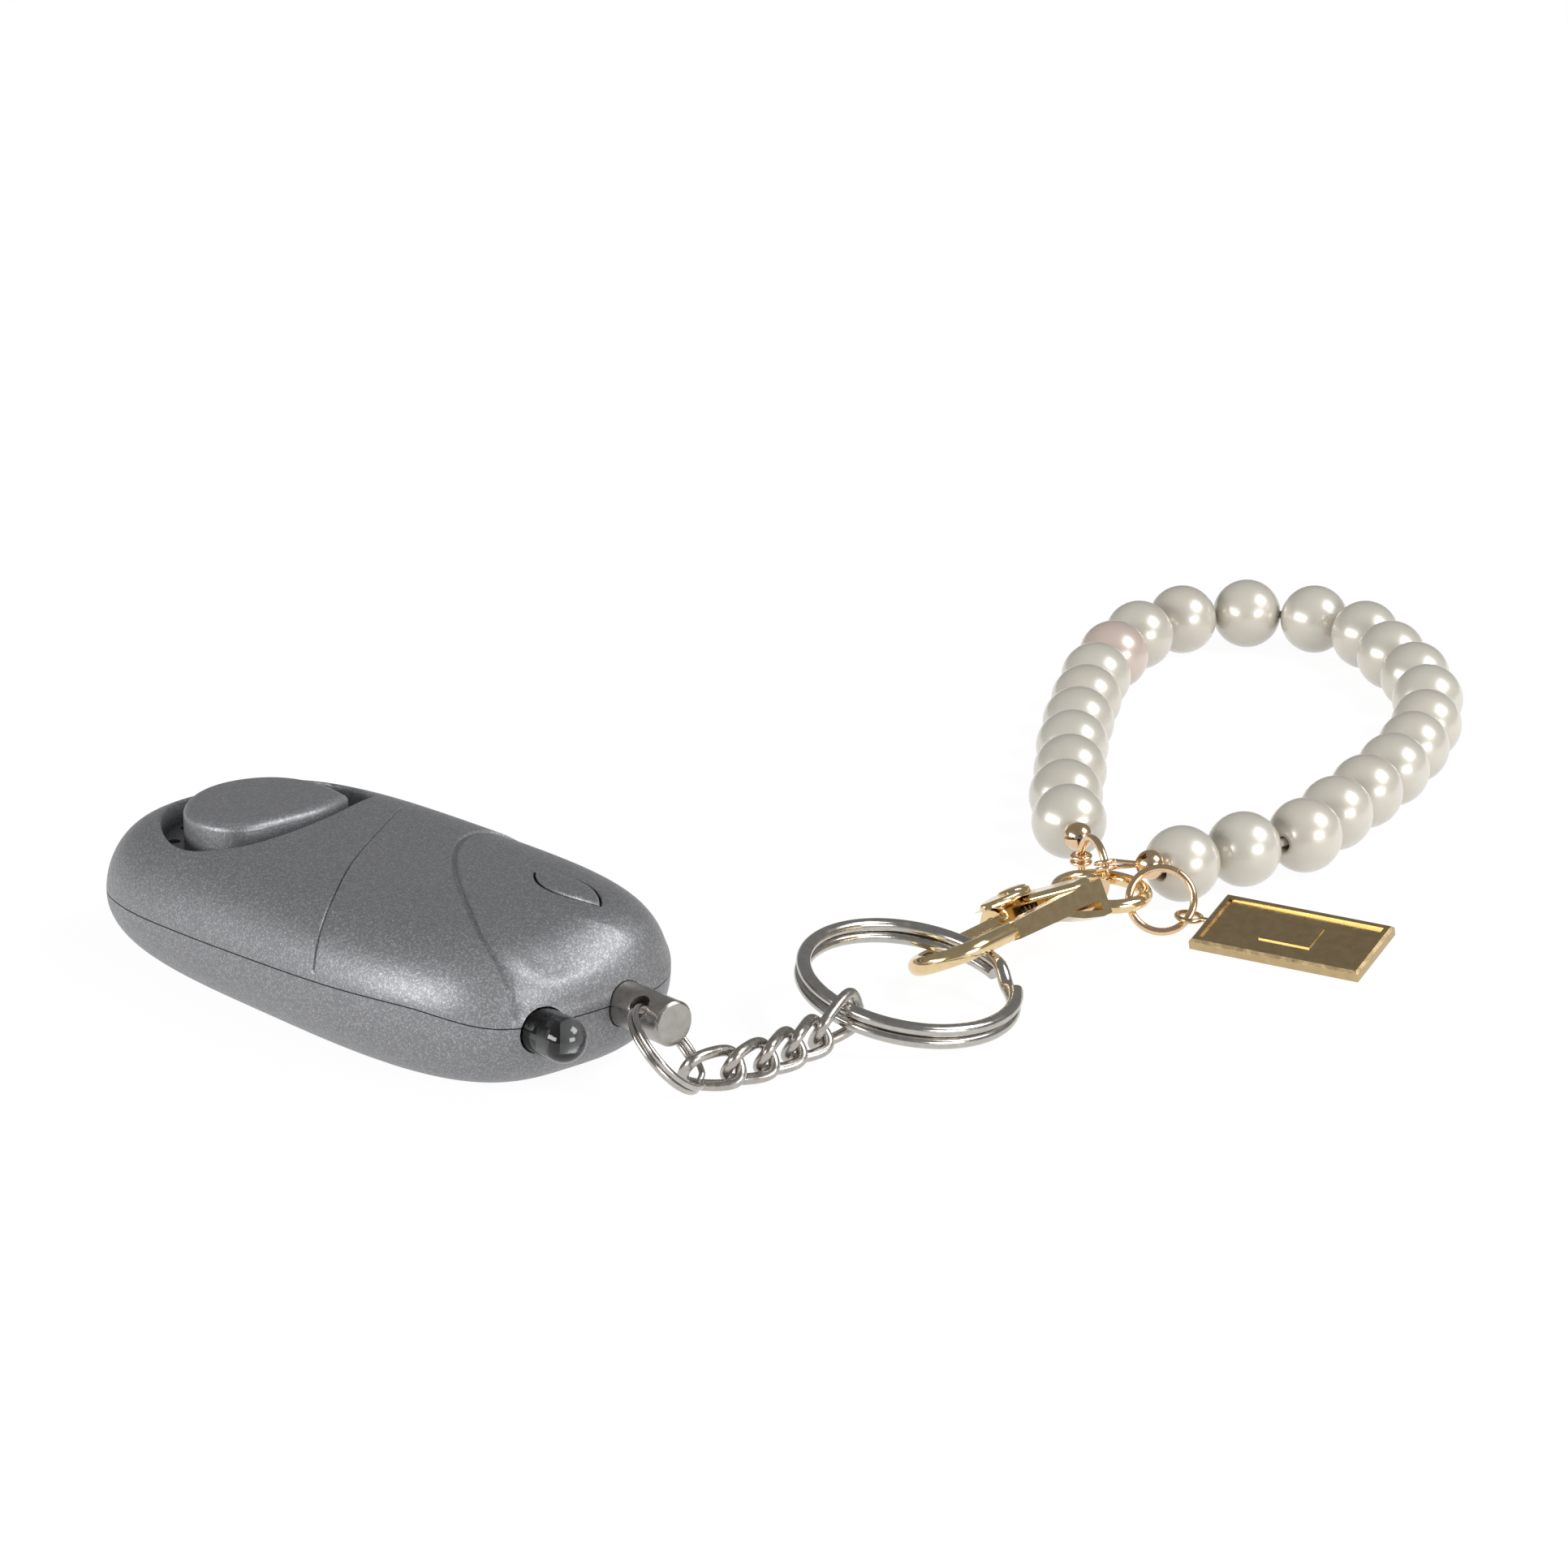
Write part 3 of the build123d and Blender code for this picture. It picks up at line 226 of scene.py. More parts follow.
def effect(tree, group, **values):
    """Places a shared effect in a material, on Object coordinates, and returns its mask."""
    node = add_node(tree, "ShaderNodeGroup", values, node_tree=group)
    link_nodes(tree, (add_node(tree, "ShaderNodeTexCoord"), "Object", node, "Vector"))
    return node.outputs[0]


def mixed_colour(tree, mask, low, high, target):
    """Feeds a colour between low and high, by the mask, into a colour socket."""
    mix = add_node(tree, "ShaderNodeMix", {6: (*low, 1.0), 7: (*high, 1.0)}, data_type="RGBA")
    tree.links.new(mask, mix.inputs[0])
    tree.links.new(mix.outputs[2], target)


def ranged(tree, mask, low, high, target):
    """Feeds a number between low and high, by the mask, into a socket."""
    span = add_node(tree, "ShaderNodeMapRange", {"To Min": low, "To Max": high})
    tree.links.new(mask, span.inputs["Value"])
    tree.links.new(span.outputs[0], target)


def bumped(tree, shader, mask, strength, depth):
    """Turns a mask into a bump of a real depth in metres."""
    bump = add_node(tree, "ShaderNodeBump", {"Strength": strength, "Distance": depth})
    tree.links.new(mask, bump.inputs["Height"])
    tree.links.new(bump.outputs[0], shader.inputs["Normal"])


print("material helpers ready")

# %% [markdown]
# The casing is moulded with a spark-eroded grain and sprayed with silver paint. Grain and flakes are both
# smaller than a third of a millimetre, so the surface looks satin from a step away and sparkles up close.


# %% Silver paint
def silver_paint(name, low, high, roughness, grain_depth):
    """Flakes of two greys over a fine grain that also breaks up the gloss."""
    material, tree, shader = new_finish(name, high, 0.55, roughness, Coat_Weight=0.08, Coat_Roughness=0.35)
    grain = effect(tree, grain_group, Scale=2600.0, Contrast=2.2)
    flake = effect(tree, flake_group, Scale=7000.0, Threshold=0.55)
    mixed_colour(tree, flake, low, high, shader.inputs["Base Color"])
    ranged(tree, grain, roughness - 0.05, roughness + 0.07, shader.inputs["Roughness"])
    bumped(tree, shader, grain, 0.55, grain_depth)
    return material


casing_paint = silver_paint("silver_casing", (0.2, 0.202, 0.212), (0.35, 0.353, 0.365), 0.46, 0.00003)
leaf_paint = silver_paint("silver_leaf", (0.22, 0.222, 0.232), (0.34, 0.343, 0.355), 0.44, 0.00002)
print("paint", casing_paint.name, leaf_paint.name)

# %% [markdown]
# Plated wire is bright metal with slow changes in gloss from handling and fine scratches. Nickel is slightly
# warm. The snap hook is pale gold, and the jump rings and bead tips are a redder gold.


# %% Plated metals
def plated(name, low, high, roughness, scale=900.0):
    """Metal with smudges in its colour and gloss, and scratches five times finer than they are."""
    material, tree, shader = new_finish(name, high, 1.0, roughness)
    smudge = effect(tree, grain_group, Scale=scale, Contrast=1.6)
    mixed_colour(tree, smudge, low, high, shader.inputs["Base Color"])
    ranged(tree, smudge, roughness * 0.7, roughness * 1.4, shader.inputs["Roughness"])
    bumped(tree, shader, effect(tree, grain_group, Scale=scale * 5, Contrast=1.4), 0.3, 0.000004)
    return material


nickel_pin = plated("nickel_pin", (0.36, 0.34, 0.315), (0.48, 0.455, 0.425), 0.28)
nickel_chain = plated("nickel_chain", (0.4, 0.37, 0.34), (0.56, 0.53, 0.49), 0.26, 1400.0)
nickel_ring = plated("nickel_ring", (0.46, 0.44, 0.41), (0.58, 0.56, 0.52), 0.18)
pale_gold = plated("pale_gold", (0.78, 0.58, 0.31), (0.88, 0.70, 0.42), 0.14)
rose_gold = plated("rose_gold", (0.76, 0.52, 0.30), (0.86, 0.64, 0.42), 0.16)
charm_gold = plated("charm_gold", (0.48, 0.35, 0.18), (0.6, 0.45, 0.25), 0.22)
spring_steel = plated("spring_steel", (0.5, 0.47, 0.43), (0.66, 0.62, 0.57), 0.25)
cell_steel = plated("cell_steel", (0.6, 0.6, 0.58), (0.7, 0.7, 0.68), 0.3)
contact_metal = plated("contact_metal", (0.66, 0.6, 0.44), (0.76, 0.7, 0.54), 0.3)
disc_brass = plated("disc_brass", (0.7, 0.55, 0.27), (0.8, 0.65, 0.35), 0.25)
lamp_leads = plated("lamp_leads", (0.5, 0.5, 0.5), (0.7, 0.7, 0.69), 0.3)
print("plated metals up to", lamp_leads.name)

# %% [markdown]
# The pieces inside the casing are plain: moulded plastic, a green board, a fired coil core and ceramic, and red
# wire sleeves. They share one recipe, a grain that shifts the colour a little and roughens the surface.


# %% Plain inner materials
def moulded(name, low, high, roughness, scale=3000.0):
    """A dull material with a grain in its colour and its surface."""
    material, tree, shader = new_finish(name, high, 0.0, roughness)
    grain = effect(tree, grain_group, Scale=scale, Contrast=1.8)
    mixed_colour(tree, grain, low, high, shader.inputs["Base Color"])
    bumped(tree, shader, grain, 0.4, 0.00001)
    return material


black_plastic = moulded("black_plastic", (0.018, 0.018, 0.02), (0.035, 0.035, 0.036), 0.55)
board_green = moulded("board", (0.03, 0.17, 0.08), (0.05, 0.25, 0.12), 0.35, 900.0)
ferrite = moulded("ferrite", (0.05, 0.045, 0.04), (0.1, 0.09, 0.085), 0.6)
ceramic = moulded("ceramic", (0.72, 0.7, 0.64), (0.82, 0.8, 0.74), 0.5)
wire_red = moulded("wire_red", (0.4, 0.02, 0.015), (0.55, 0.04, 0.03), 0.4)
print("materials", len(bpy.data.materials))

# %% [markdown]
# A glass pearl is coated with layers of pearl paint: a soft metallic glow under a sharp clear coat, with faint
# clouds of cream. The tint of each pearl differs a little; it is stored on the mesh as an attribute, which the
# material reads.

# %% Pearl coat
pearl_coat, tree, shader = new_finish("pearl", (0.8, 0.78, 0.72), 0.3, 0.3, Coat_Weight=0.7, Coat_Roughness=0.06,
                                      Specular_IOR_Level=0.7, Subsurface_Weight=0.15,
                                      Subsurface_Radius=(1.0, 0.9, 0.7), Subsurface_Scale=0.001)
pink = add_node(tree, "ShaderNodeMix", {7: (0.62, 0.49, 0.43, 1.0)}, data_type="RGBA")
tint = add_node(tree, "ShaderNodeAttribute", attribute_name="tint")
cloud = effect(tree, grain_group, Scale=220.0, Contrast=1.4)
mixed_colour(tree, cloud, (0.58, 0.55, 0.47), (0.66, 0.63, 0.56), pink.inputs[6])
link_nodes(tree, (tint, "Fac", pink, 0), (pink, 2, shader, "Base Color"))
bumped(tree, shader, effect(tree, grain_group, Scale=2500.0, Contrast=1.2), 0.2, 0.000004)
print("pearl coat reads", tint.attribute_name)

# %% [markdown]
# The lamp's body is clear cast resin, so it is glass in the shader, with a faint ripple from its mould. Its glass
# is tinted nearly black as painted shade, for the dark inside of the lamp seen through it. The thread in the
# pearls is twisted, and its marks are drawn out along one direction.

# %% Clear lamp and thread
# Painted shade: the clear glass is tinted nearly black to stand for the dark inside seen through the dome.
clear_lamp, tree, shader = new_finish("clear_lamp", (0.13, 0.135, 0.135), 0.0, 0.03, IOR=1.52,
                                      Transmission_Weight=1.0)
bumped(tree, shader, effect(tree, grain_group, Scale=700.0, Contrast=1.0), 0.12, 0.00001)
thread, tree, shader = new_finish("cord", (0.8, 0.76, 0.66), 0.0, 0.85)
twist = effect(tree, mark_group, Scale=3000.0, Stretch=0.3)
mixed_colour(tree, twist, (0.62, 0.58, 0.48), (0.86, 0.82, 0.72), shader.inputs["Base Color"])
bumped(tree, shader, twist, 0.5, 0.00003)
print("finishes", clear_lamp.name, thread.name)

# %% [markdown]
# Every piece below is a mesh in the frame's own metres. A few helpers turn lists of points into finished
# objects and hand each one to its body.

# %% Finish and body of a piece
SMOOTH_ANGLE = math.radians(32.0)
WIRE_ANGLE = math.radians(50.0)


def smoothed(mesh, angle=SMOOTH_ANGLE):
    """Smooth faces, with crisp edges past an angle."""
    mesh.shade_smooth()
    mesh.set_sharp_from_angle(angle=angle)


def finished(name, mesh, material, angle=SMOOTH_ANGLE):
    """A mesh object with one material."""
    mesh.materials.clear()
    mesh.materials.append(material)
    smoothed(mesh, angle)
    return placed(name, mesh)


def mesh_of(name, work):
    """Ends a bmesh and returns it as a mesh."""
    mesh = bpy.data.meshes.new(name)
    work.to_mesh(mesh)
    work.free()
    return mesh


def evaluated_mesh(obj):
    """The plain mesh that an object's modifiers make."""
    return bpy.data.meshes.new_from_object(obj.evaluated_get(bpy.context.evaluated_depsgraph_get()))


def applied(obj):
    """Makes an object's modifiers part of its mesh."""
    mesh = evaluated_mesh(obj)
    obj.modifiers.clear()
    obj.data = mesh


def rounded_edges(obj, width, segments, harden=True):
    """Rounds an object's sharp edges by a width in millimetres."""
    step = obj.modifiers.new("rounded_edges", "BEVEL")
    step.width = width * MM
    step.segments = segments
    step.limit_method = "ANGLE"
    step.angle_limit = SMOOTH_ANGLE
    step.harden_normals = harden
    applied(obj)


def give(obj, body, slot, *replaced):
    """The piece rides on a body and stands for CAD nodes, which are hidden; the slot is not used."""
    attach(obj, body)
    if replaced:
        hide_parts(*replaced)


print("smooth up to", round(math.degrees(SMOOTH_ANGLE)), "degrees")

# %% [markdown]
# Most small pieces are turned on a lathe, cast or moulded. A turned piece is a profile spun about its axis. The
# castings keep the model's solids, whose loose triangles are merged first, so that their edges can be rounded.


# %% Forms of small pieces
def merged_copy(node):
    """A bmesh of a CAD node with its loose triangles joined."""
    work = bmesh.new()
    work.from_mesh(nodes[node].data)
    bmesh.ops.remove_doubles(work, verts=work.verts, dist=0.002 * MM)
    return work


def crisp_copy(node, name, material, bevel):
    """A copy of a CAD node with its flat faces joined and its edges rounded."""
    work = merged_copy(node)
    bmesh.ops.dissolve_limit(work, angle_limit=math.radians(0.6), verts=work.verts, edges=work.edges)
    obj = finished(name, mesh_of(name, work), material)
    rounded_edges(obj, bevel, 3)
    return obj


def add_face(work, corners):
    """A face of the corners that differ, if there are three or more."""
    corners = list(dict.fromkeys(corners))
    if len(corners) > 2:
        work.faces.new(corners)


def band(work, lower, upper):
    """Faces between two closed rows of points; a row may be one point."""
    below, above = len(lower), len(upper)
    for k in range(max(below, above)):
        n = k + 1
        add_face(work, [lower[k % below], lower[n % below], upper[n % above], upper[k % above]])


def stack_rows(work, rows, low_face=False, top_face=False):
    """Joins closed rows of points by bands, with a face on the first or the last row where one is wanted."""
    if low_face:
        work.faces.new(rows[0])
    for lower, upper in zip(rows, rows[1:]):
        band(work, lower, upper)
    if top_face:
        work.faces.new(rows[-1])


def loop_verts(work, loop, heights):
    return [work.verts.new((x, y, z)) for (x, y), z in zip(loop, np.broadcast_to(heights, len(loop)))]


def piece_from(name, work, material, matrix=Matrix.Scale(MM, 4)):
    """Ends a bmesh drawn in millimetres and makes it a finished piece, placed by a matrix."""
    bmesh.ops.recalc_face_normals(work, faces=work.faces)
    work.transform(matrix)
    return finished(name, mesh_of(name, work), material)


def on_circle(radius, turn, height=0.0):
    return Vector((radius * math.cos(turn), radius * math.sin(turn), height))


def turned(name, profile, sides, material, matrix):
    """A turned piece: a profile of (radius, length) points spun about Z, then placed by a matrix."""
    work = bmesh.new()
    rows = []
    for radius, length in profile:
        steps = sides if radius else 1
        rows.append([work.verts.new(on_circle(radius, 2 * math.pi * k / sides, length)) for k in range(steps)])
    stack_rows(work, rows)
    return piece_from(name, work, material, matrix)


def frame_matrix(origin, x_dir, z_dir):
    """A matrix that places a piece drawn in its own axes; all in millimetres, result in metres."""
    z_axis = Vector(z_dir).normalized()
    x_axis = (Vector(x_dir) - z_axis * Vector(x_dir).dot(z_axis)).normalized()
    y_axis = z_axis.cross(x_axis)
    turn = Matrix((x_axis, y_axis, z_axis)).transposed().to_4x4()
    return Matrix.Translation(Vector(origin) * MM) @ turn @ Matrix.Scale(MM, 4)


print("forms ready")

# %% [markdown]
# Wire makes most of the small pieces: split rings, chain links, jump rings and the swivel's loop. One Geometry
# Nodes tree sweeps an oval section along any line, so each piece only needs its own line and section.


# %% Geometry Nodes: wire along a line
def geometry_tree(name, sockets):
    """A tree with named inputs; returns it, the identifiers of its inputs and its two ends."""
    tree = bpy.data.node_groups.new(name, "GeometryNodeTree")
    identifiers = {}
    for label, kind, default in (("Geometry", "Geometry", None), *sockets, ("Material", "Material", None)):
        socket = tree.interface.new_socket(name=label, in_out="INPUT", socket_type="NodeSocket" + kind)
        if default is not None:
            socket.default_value = default
        identifiers[label] = socket.identifier
    tree.interface.new_socket(name="Geometry", in_out="OUTPUT", socket_type="NodeSocketGeometry")
    return tree, identifiers, add_node(tree, "NodeGroupInput"), add_node(tree, "NodeGroupOutput")


def grown_mesh(obj, tree, identifiers, **values):
    """The plain mesh that a tree makes from an object, with its inputs set by their identifiers."""
    step = obj.modifiers.new(tree.name, "NODES")
    step.node_group = tree
    for label, value in values.items():
        step[identifiers[label]] = value
    mesh = evaluated_mesh(obj)
    bpy.data.objects.remove(obj)
    return mesh


wire_tree, wire_inputs, start, finish = geometry_tree("wire_along_line", (
    ("Width", "Float", 1.0), ("Height", "Float", 1.0), ("Sides", "Int", 20)))
section = add_node(wire_tree, "GeometryNodeCurvePrimitiveCircle", {"Radius": 0.5})
oval = add_node(wire_tree, "ShaderNodeCombineXYZ", {"Z": 1.0})
shape_section = add_node(wire_tree, "GeometryNodeTransform")
upright = add_node(wire_tree, "GeometryNodeSetCurveNormal", mode="Z_UP")
sweep_wire = add_node(wire_tree, "GeometryNodeCurveToMesh", {"Fill Caps": True})
join_wire = add_node(wire_tree, "GeometryNodeMergeByDistance", {"Distance": 0.001 * MM})
realize = add_node(wire_tree, "GeometryNodeRealizeInstances")
paint_wire = add_node(wire_tree, "GeometryNodeSetMaterial")
link_nodes(wire_tree, (start, "Geometry", upright, "Curve"), (upright, 0, sweep_wire, "Curve"),
           (start, "Sides", section, "Resolution"), (start, "Width", oval, "X"), (start, "Height", oval, "Y"),
           (section, "Curve", shape_section, "Geometry"), (oval, 0, shape_section, "Scale"),
           (shape_section, 0, sweep_wire, "Profile Curve"), (sweep_wire, 0, join_wire, "Geometry"),
           (join_wire, 0, realize, 0), (realize, 0, paint_wire, "Geometry"),
           (start, "Material", paint_wire, "Material"), (paint_wire, 0, finish, 0))


def curve_through(name, points, kind):
    """A curve object through points given in millimetres."""
    data = bpy.data.curves.new(name, "CURVE")
    data.dimensions = "3D"
    spline = data.splines.new(kind)
    spline.points.add(len(points) - 1)
    for spot, point in zip(spline.points, points):
        spot.co = (*(Vector(point) * MM), 1.0)
    return placed(name, data)


def wire_piece(name, points, material, width, height=None, closed=False, sides=20):
    """Wire swept along points by the shared tree, as a plain mesh."""
    line = curve_through(name + "_line", points, "POLY")
    line.data.splines[0].use_cyclic_u = closed
    mesh = grown_mesh(line, wire_tree, wire_inputs, Width=width * MM, Height=(height or width) * MM, Sides=sides,
                      Material=material)
    return finished(name, mesh, material, WIRE_ANGLE)


print("wire tree inputs", list(wire_inputs))

# %% [markdown]
# The casing is a pebble: in plan it is a squared oval, and in section the lower half is a quarter round and the
# upper half a flat dome. A rule with a few numbers gives every point of it, so the skin is a grid of rows and
# columns. Rows follow the dome by equal steps of length, and columns follow the outline.

# %% Casing sizes
HALF_LENGTH, HALF_WIDTH = 37.0, 19.1
SEAM_REAR, SEAM_FRONT = 6.1, 8.9
TOP_REAR, TOP_FRONT = 16.0, 18.5
UNDERSIDE_ROUND = 9.0
PLAN_POWER, SHOULDER_POWER = 3.3, 5.2
SEAM_GAP = 0.15
SEAM_ARCH_X = np.linspace(-HALF_LENGTH, HALF_LENGTH, 75)
seam_steps = np.interp(SEAM_ARCH_X, [-37, -35, -28, -14, 3, 14, 22, 27, 31, 34, 36, 37],
                       [0.0, 0.2, 1.0, 1.5, 1.75, 1.95, 2.1, 2.0, 1.2, 0.3, 0.0, 0.0])
SEAM_ARCH_RISE = np.convolve(np.pad(seam_steps, 2, mode="edge"), [0.15, 0.2, 0.3, 0.2, 0.15], mode="valid")
WALL = 1.4
QUARTER = math.pi / 2
COLUMNS = 336
UPPER_ROWS, LOWER_ROWS, FLAT_ROWS = 52, 20, 14
SAME_POINT = 0.004


def along_casing(rear, front, x):
    """A height that changes evenly from the tail to the nose."""
    return (rear + front) / 2 + (front - rear) / (2 * HALF_LENGTH) * x


def seam_height(x):
    return along_casing(SEAM_REAR, SEAM_FRONT, x)


def top_height(x):
    return along_casing(TOP_REAR, TOP_FRONT, x)


def seam_arch(x):
    """How far the parting line bows up over the straight one; it meets that one at the tail and the nose."""
    return np.interp(x, SEAM_ARCH_X, SEAM_ARCH_RISE)


print("casing", 2 * HALF_LENGTH, "by", 2 * HALF_WIDTH, "bow of the seam", round(float(SEAM_ARCH_RISE.max()), 2))

# %% [markdown]
# Equal steps of an angle would crowd the grid's points at the casing's ends and thin them out at its shoulders.
# So a dense line is measured first, and the columns and rows are set at equal steps of its length.


# %% Casing rule
def even_steps(points, count):
    """Parameters at equal lengths along a dense line, ends included."""
    lengths = np.concatenate([[0.0], np.cumsum(np.linalg.norm(np.diff(points, axis=0), axis=1))])
    return np.interp(np.linspace(0.0, lengths[-1], count), lengths, np.linspace(0.0, 1.0, len(points)))


def plan_shape(turn):
    """Points of the squared oval, as shares of its half length and half width."""
    c, s = np.cos(turn), np.sin(turn)
    return np.sign(c) * np.abs(c) ** (2 / PLAN_POWER), np.sign(s) * np.abs(s) ** (2 / PLAN_POWER)


def dome(angle):
    """Pull and rise of the upper half at an angle of its section."""
    return HALF_WIDTH * (1 - np.maximum(np.cos(angle), 0.0) ** (2 / SHOULDER_POWER)), np.sin(angle)


def ring_of(pull, share, far_height, gap):
    """One row of the grid, drawn in by pull, part of the way from the seam to the far face of its half."""
    x, y = (HALF_LENGTH - pull) * plan_x, (HALF_WIDTH - pull) * plan_y
    seam = (seam_height(x) + gap) * (1 - share)
    return np.c_[x, y, seam + far_height(x) * share + seam_arch(x) * (1 - share) ** 3]


outline_x, outline_y = plan_shape(np.linspace(0.0, 2 * math.pi, 8001))
column_turns = even_steps(np.c_[outline_x * HALF_LENGTH, outline_y * HALF_WIDTH], COLUMNS + 1)[:-1] * 2 * math.pi
plan_x, plan_y = plan_shape(column_turns)
dense_pull, dense_rise = dome(np.linspace(0.0, QUARTER, 4001))
dense_section = np.c_[HALF_WIDTH - dense_pull, dense_rise * (TOP_REAR - SEAM_REAR)]
upper_rows, lower_rows = [], []
for angle in even_steps(dense_section, UPPER_ROWS) * QUARTER:
    pull, rise = dome(angle)
    upper_rows.append(ring_of(pull, rise, top_height, SEAM_GAP / 2))
for step in range(FLAT_ROWS):
    pull = HALF_WIDTH - (HALF_WIDTH - UNDERSIDE_ROUND) * step / FLAT_ROWS
    lower_rows.append(ring_of(pull, 1.0, np.zeros_like, 0.0))
for step in range(LOWER_ROWS + 1):
    angle = QUARTER * (1 - step / LOWER_ROWS)
    pull, drop = UNDERSIDE_ROUND * (1 - math.cos(angle)), math.sin(angle)
    lower_rows.append(ring_of(pull, drop, np.zeros_like, -SEAM_GAP / 2))


def grid_work(rows):
    """A bmesh from rows of points round a closed line; the row with no width closes on itself."""
    work = bmesh.new()
    made = [[work.verts.new(point) for point in row] for row in rows]
    stack_rows(work, made)
    bmesh.ops.remove_doubles(work, verts=work.verts, dist=SAME_POINT)
    return work


print("casing rows", len(upper_rows), len(lower_rows), "columns", COLUMNS)

# %% [markdown]
# The upper shell carries fine features that cross the grid: a leaf-shaped recess, an arch that bounds the sunken
# front panel, a hairline groove and an eye-shaped key hole. Each is a line in plan, given by shares of the
# casing's half length and half width, so it keeps its place when the casing changes size.

# %% Lines in plan
def smooth_line(points, count):
    """Points of a natural cubic spline through given points, spaced by their chords."""
    points = np.array(points, float)
    chord = np.concatenate([[0.0], np.cumsum(np.linalg.norm(np.diff(points, axis=0), axis=1))])
    size = len(points)
    step = np.diff(chord)
    system, right = np.zeros((size, size)), np.zeros((size, 2))
    system[0, 0] = system[-1, -1] = 1.0
    for k in range(1, size - 1):
        system[k, k - 1:k + 2] = step[k - 1], 2 * (step[k - 1] + step[k]), step[k]
        right[k] = 6 * ((points[k + 1] - points[k]) / step[k] - (points[k] - points[k - 1]) / step[k - 1])
    bend = np.linalg.solve(system, right)
    wanted = np.linspace(0.0, chord[-1], count)
    cell = np.clip(np.searchsorted(chord, wanted, side="right") - 1, 0, size - 2)
    before, after = (wanted - chord[cell])[:, None], (chord[cell + 1] - wanted)[:, None]
    width = step[cell][:, None]
    return (bend[cell] * after ** 3 + bend[cell + 1] * before ** 3) / (6 * width) + (
        points[cell] / width - bend[cell] * width / 6) * after + (
        points[cell + 1] / width - bend[cell + 1] * width / 6) * before


def in_plan(shares):
    return [(share_x * HALF_LENGTH, share_y * HALF_WIDTH) for share_x, share_y in shares]


def line_distance(spots, line):
    """Distance of plan points to a line, positive on its left side."""
    start, end = line[:-1], line[1:]
    run = end - start
    offset = spots[:, None, :] - start[None]
    along = np.clip((offset * run[None]).sum(2) / np.maximum((run * run).sum(1), 1e-12)[None], 0.0, 1.0)
    gap = offset - along[..., None] * run[None]
    squares = (gap * gap).sum(2)
    nearest = squares.argmin(1)
    rows = np.arange(len(spots))
    side = run[nearest, 0] * offset[rows, nearest, 1] - run[nearest, 1] * offset[rows, nearest, 0]
    return np.sqrt(squares[rows, nearest]) * np.where(side >= 0, 1.0, -1.0)


RECESS_SHARES = [(-0.43, 0.58), (-0.352, 0.18), (-0.303, -0.21), (-0.32, -0.57), (-0.44, -0.71), (-0.62, -0.65),
                 (-0.78, -0.43), (-0.86, -0.05), (-0.8, 0.37), (-0.635, 0.585), (-0.43, 0.58)]
LEAF_SHARES = [(-0.422, 0.387), (-0.378, 0.18), (-0.373, -0.16), (-0.405, -0.44), (-0.54, -0.54), (-0.7, -0.4),
               (-0.795, -0.05), (-0.73, 0.29), (-0.58, 0.41), (-0.422, 0.387)]
ARCH_SHARES = [(1.06, -0.51), (0.905, -0.52), (0.78, -0.47), (0.635, -0.33), (0.435, -0.1), (0.257, 0.136),
               (0.154, 0.314), (0.095, 0.466), (0.066, 0.62), (0.075, 0.78), (0.16, 0.93), (0.3, 1.06)]
CROSS_SHARES = [(0.36, -1.04), (0.3, -0.865), (0.265, -0.765), (0.172, -0.545), (0.08, -0.345), (-0.18, 0.32),
                (-0.3, 0.68), (-0.36, 1.04)]
BUTTON_CENTRE = (24.3, 6.4)
BUTTON_TURN = math.radians(-5.0)
BUTTON_LENGTH, BUTTON_WIDTH = 12.4, 4.4
recess_line = smooth_line(in_plan(RECESS_SHARES), 160)
leaf_line = smooth_line(in_plan(LEAF_SHARES), 160)
arch_line = smooth_line(in_plan(ARCH_SHARES), 160)
cross_line = smooth_line(in_plan(CROSS_SHARES), 120)


def lens_line(margin, count=60):
    """The eye-shaped outline of the key: two equal arcs, grown by a margin."""
    reach, rise = BUTTON_LENGTH / 2 + margin, BUTTON_WIDTH / 2 + margin
    radius = (reach ** 2 + rise ** 2) / (2 * rise)
    half = math.asin(reach / radius)
    arc = np.linspace(half, -half, count)
    upper = np.c_[radius * np.sin(arc), radius * np.cos(arc) - (radius - rise)]
    whole = np.concatenate([upper, -upper[1:]])
    c, s = math.cos(BUTTON_TURN), math.sin(BUTTON_TURN)
    return whole @ np.array([[c, s], [-s, c]]) + np.array(BUTTON_CENTRE)


def outside(spots, loop):
    """Distance of plan points outside a closed line; negative inside it."""
    away = np.abs(line_distance(spots, loop))
    x, y = spots[:, 0][:, None], spots[:, 1][:, None]
    ax, ay, bx, by = loop[:-1, 0], loop[:-1, 1], loop[1:, 0], loop[1:, 1]
    crosses = ((ay > y) != (by > y)) & (x < (bx - ax) * (y - ay) / np.where(by == ay, 1e-12, by - ay) + ax)
    return np.where(crosses.sum(1) % 2 == 1, -away, away)


def positions(work):
    return np.array([v.co for v in work.verts])


print("lines", len(recess_line), len(arch_line), len(cross_line))

# %% [markdown]
# The grid is cut exactly along lines at set distances from these features. A point that already lies near the cut
# is moved onto it, which avoids slivers, unless an earlier cut holds it. A Boolean would leave ragged faces here.

# %% Cutting a grid
ON_LINE = 1e-4
NEAR_END = 0.12


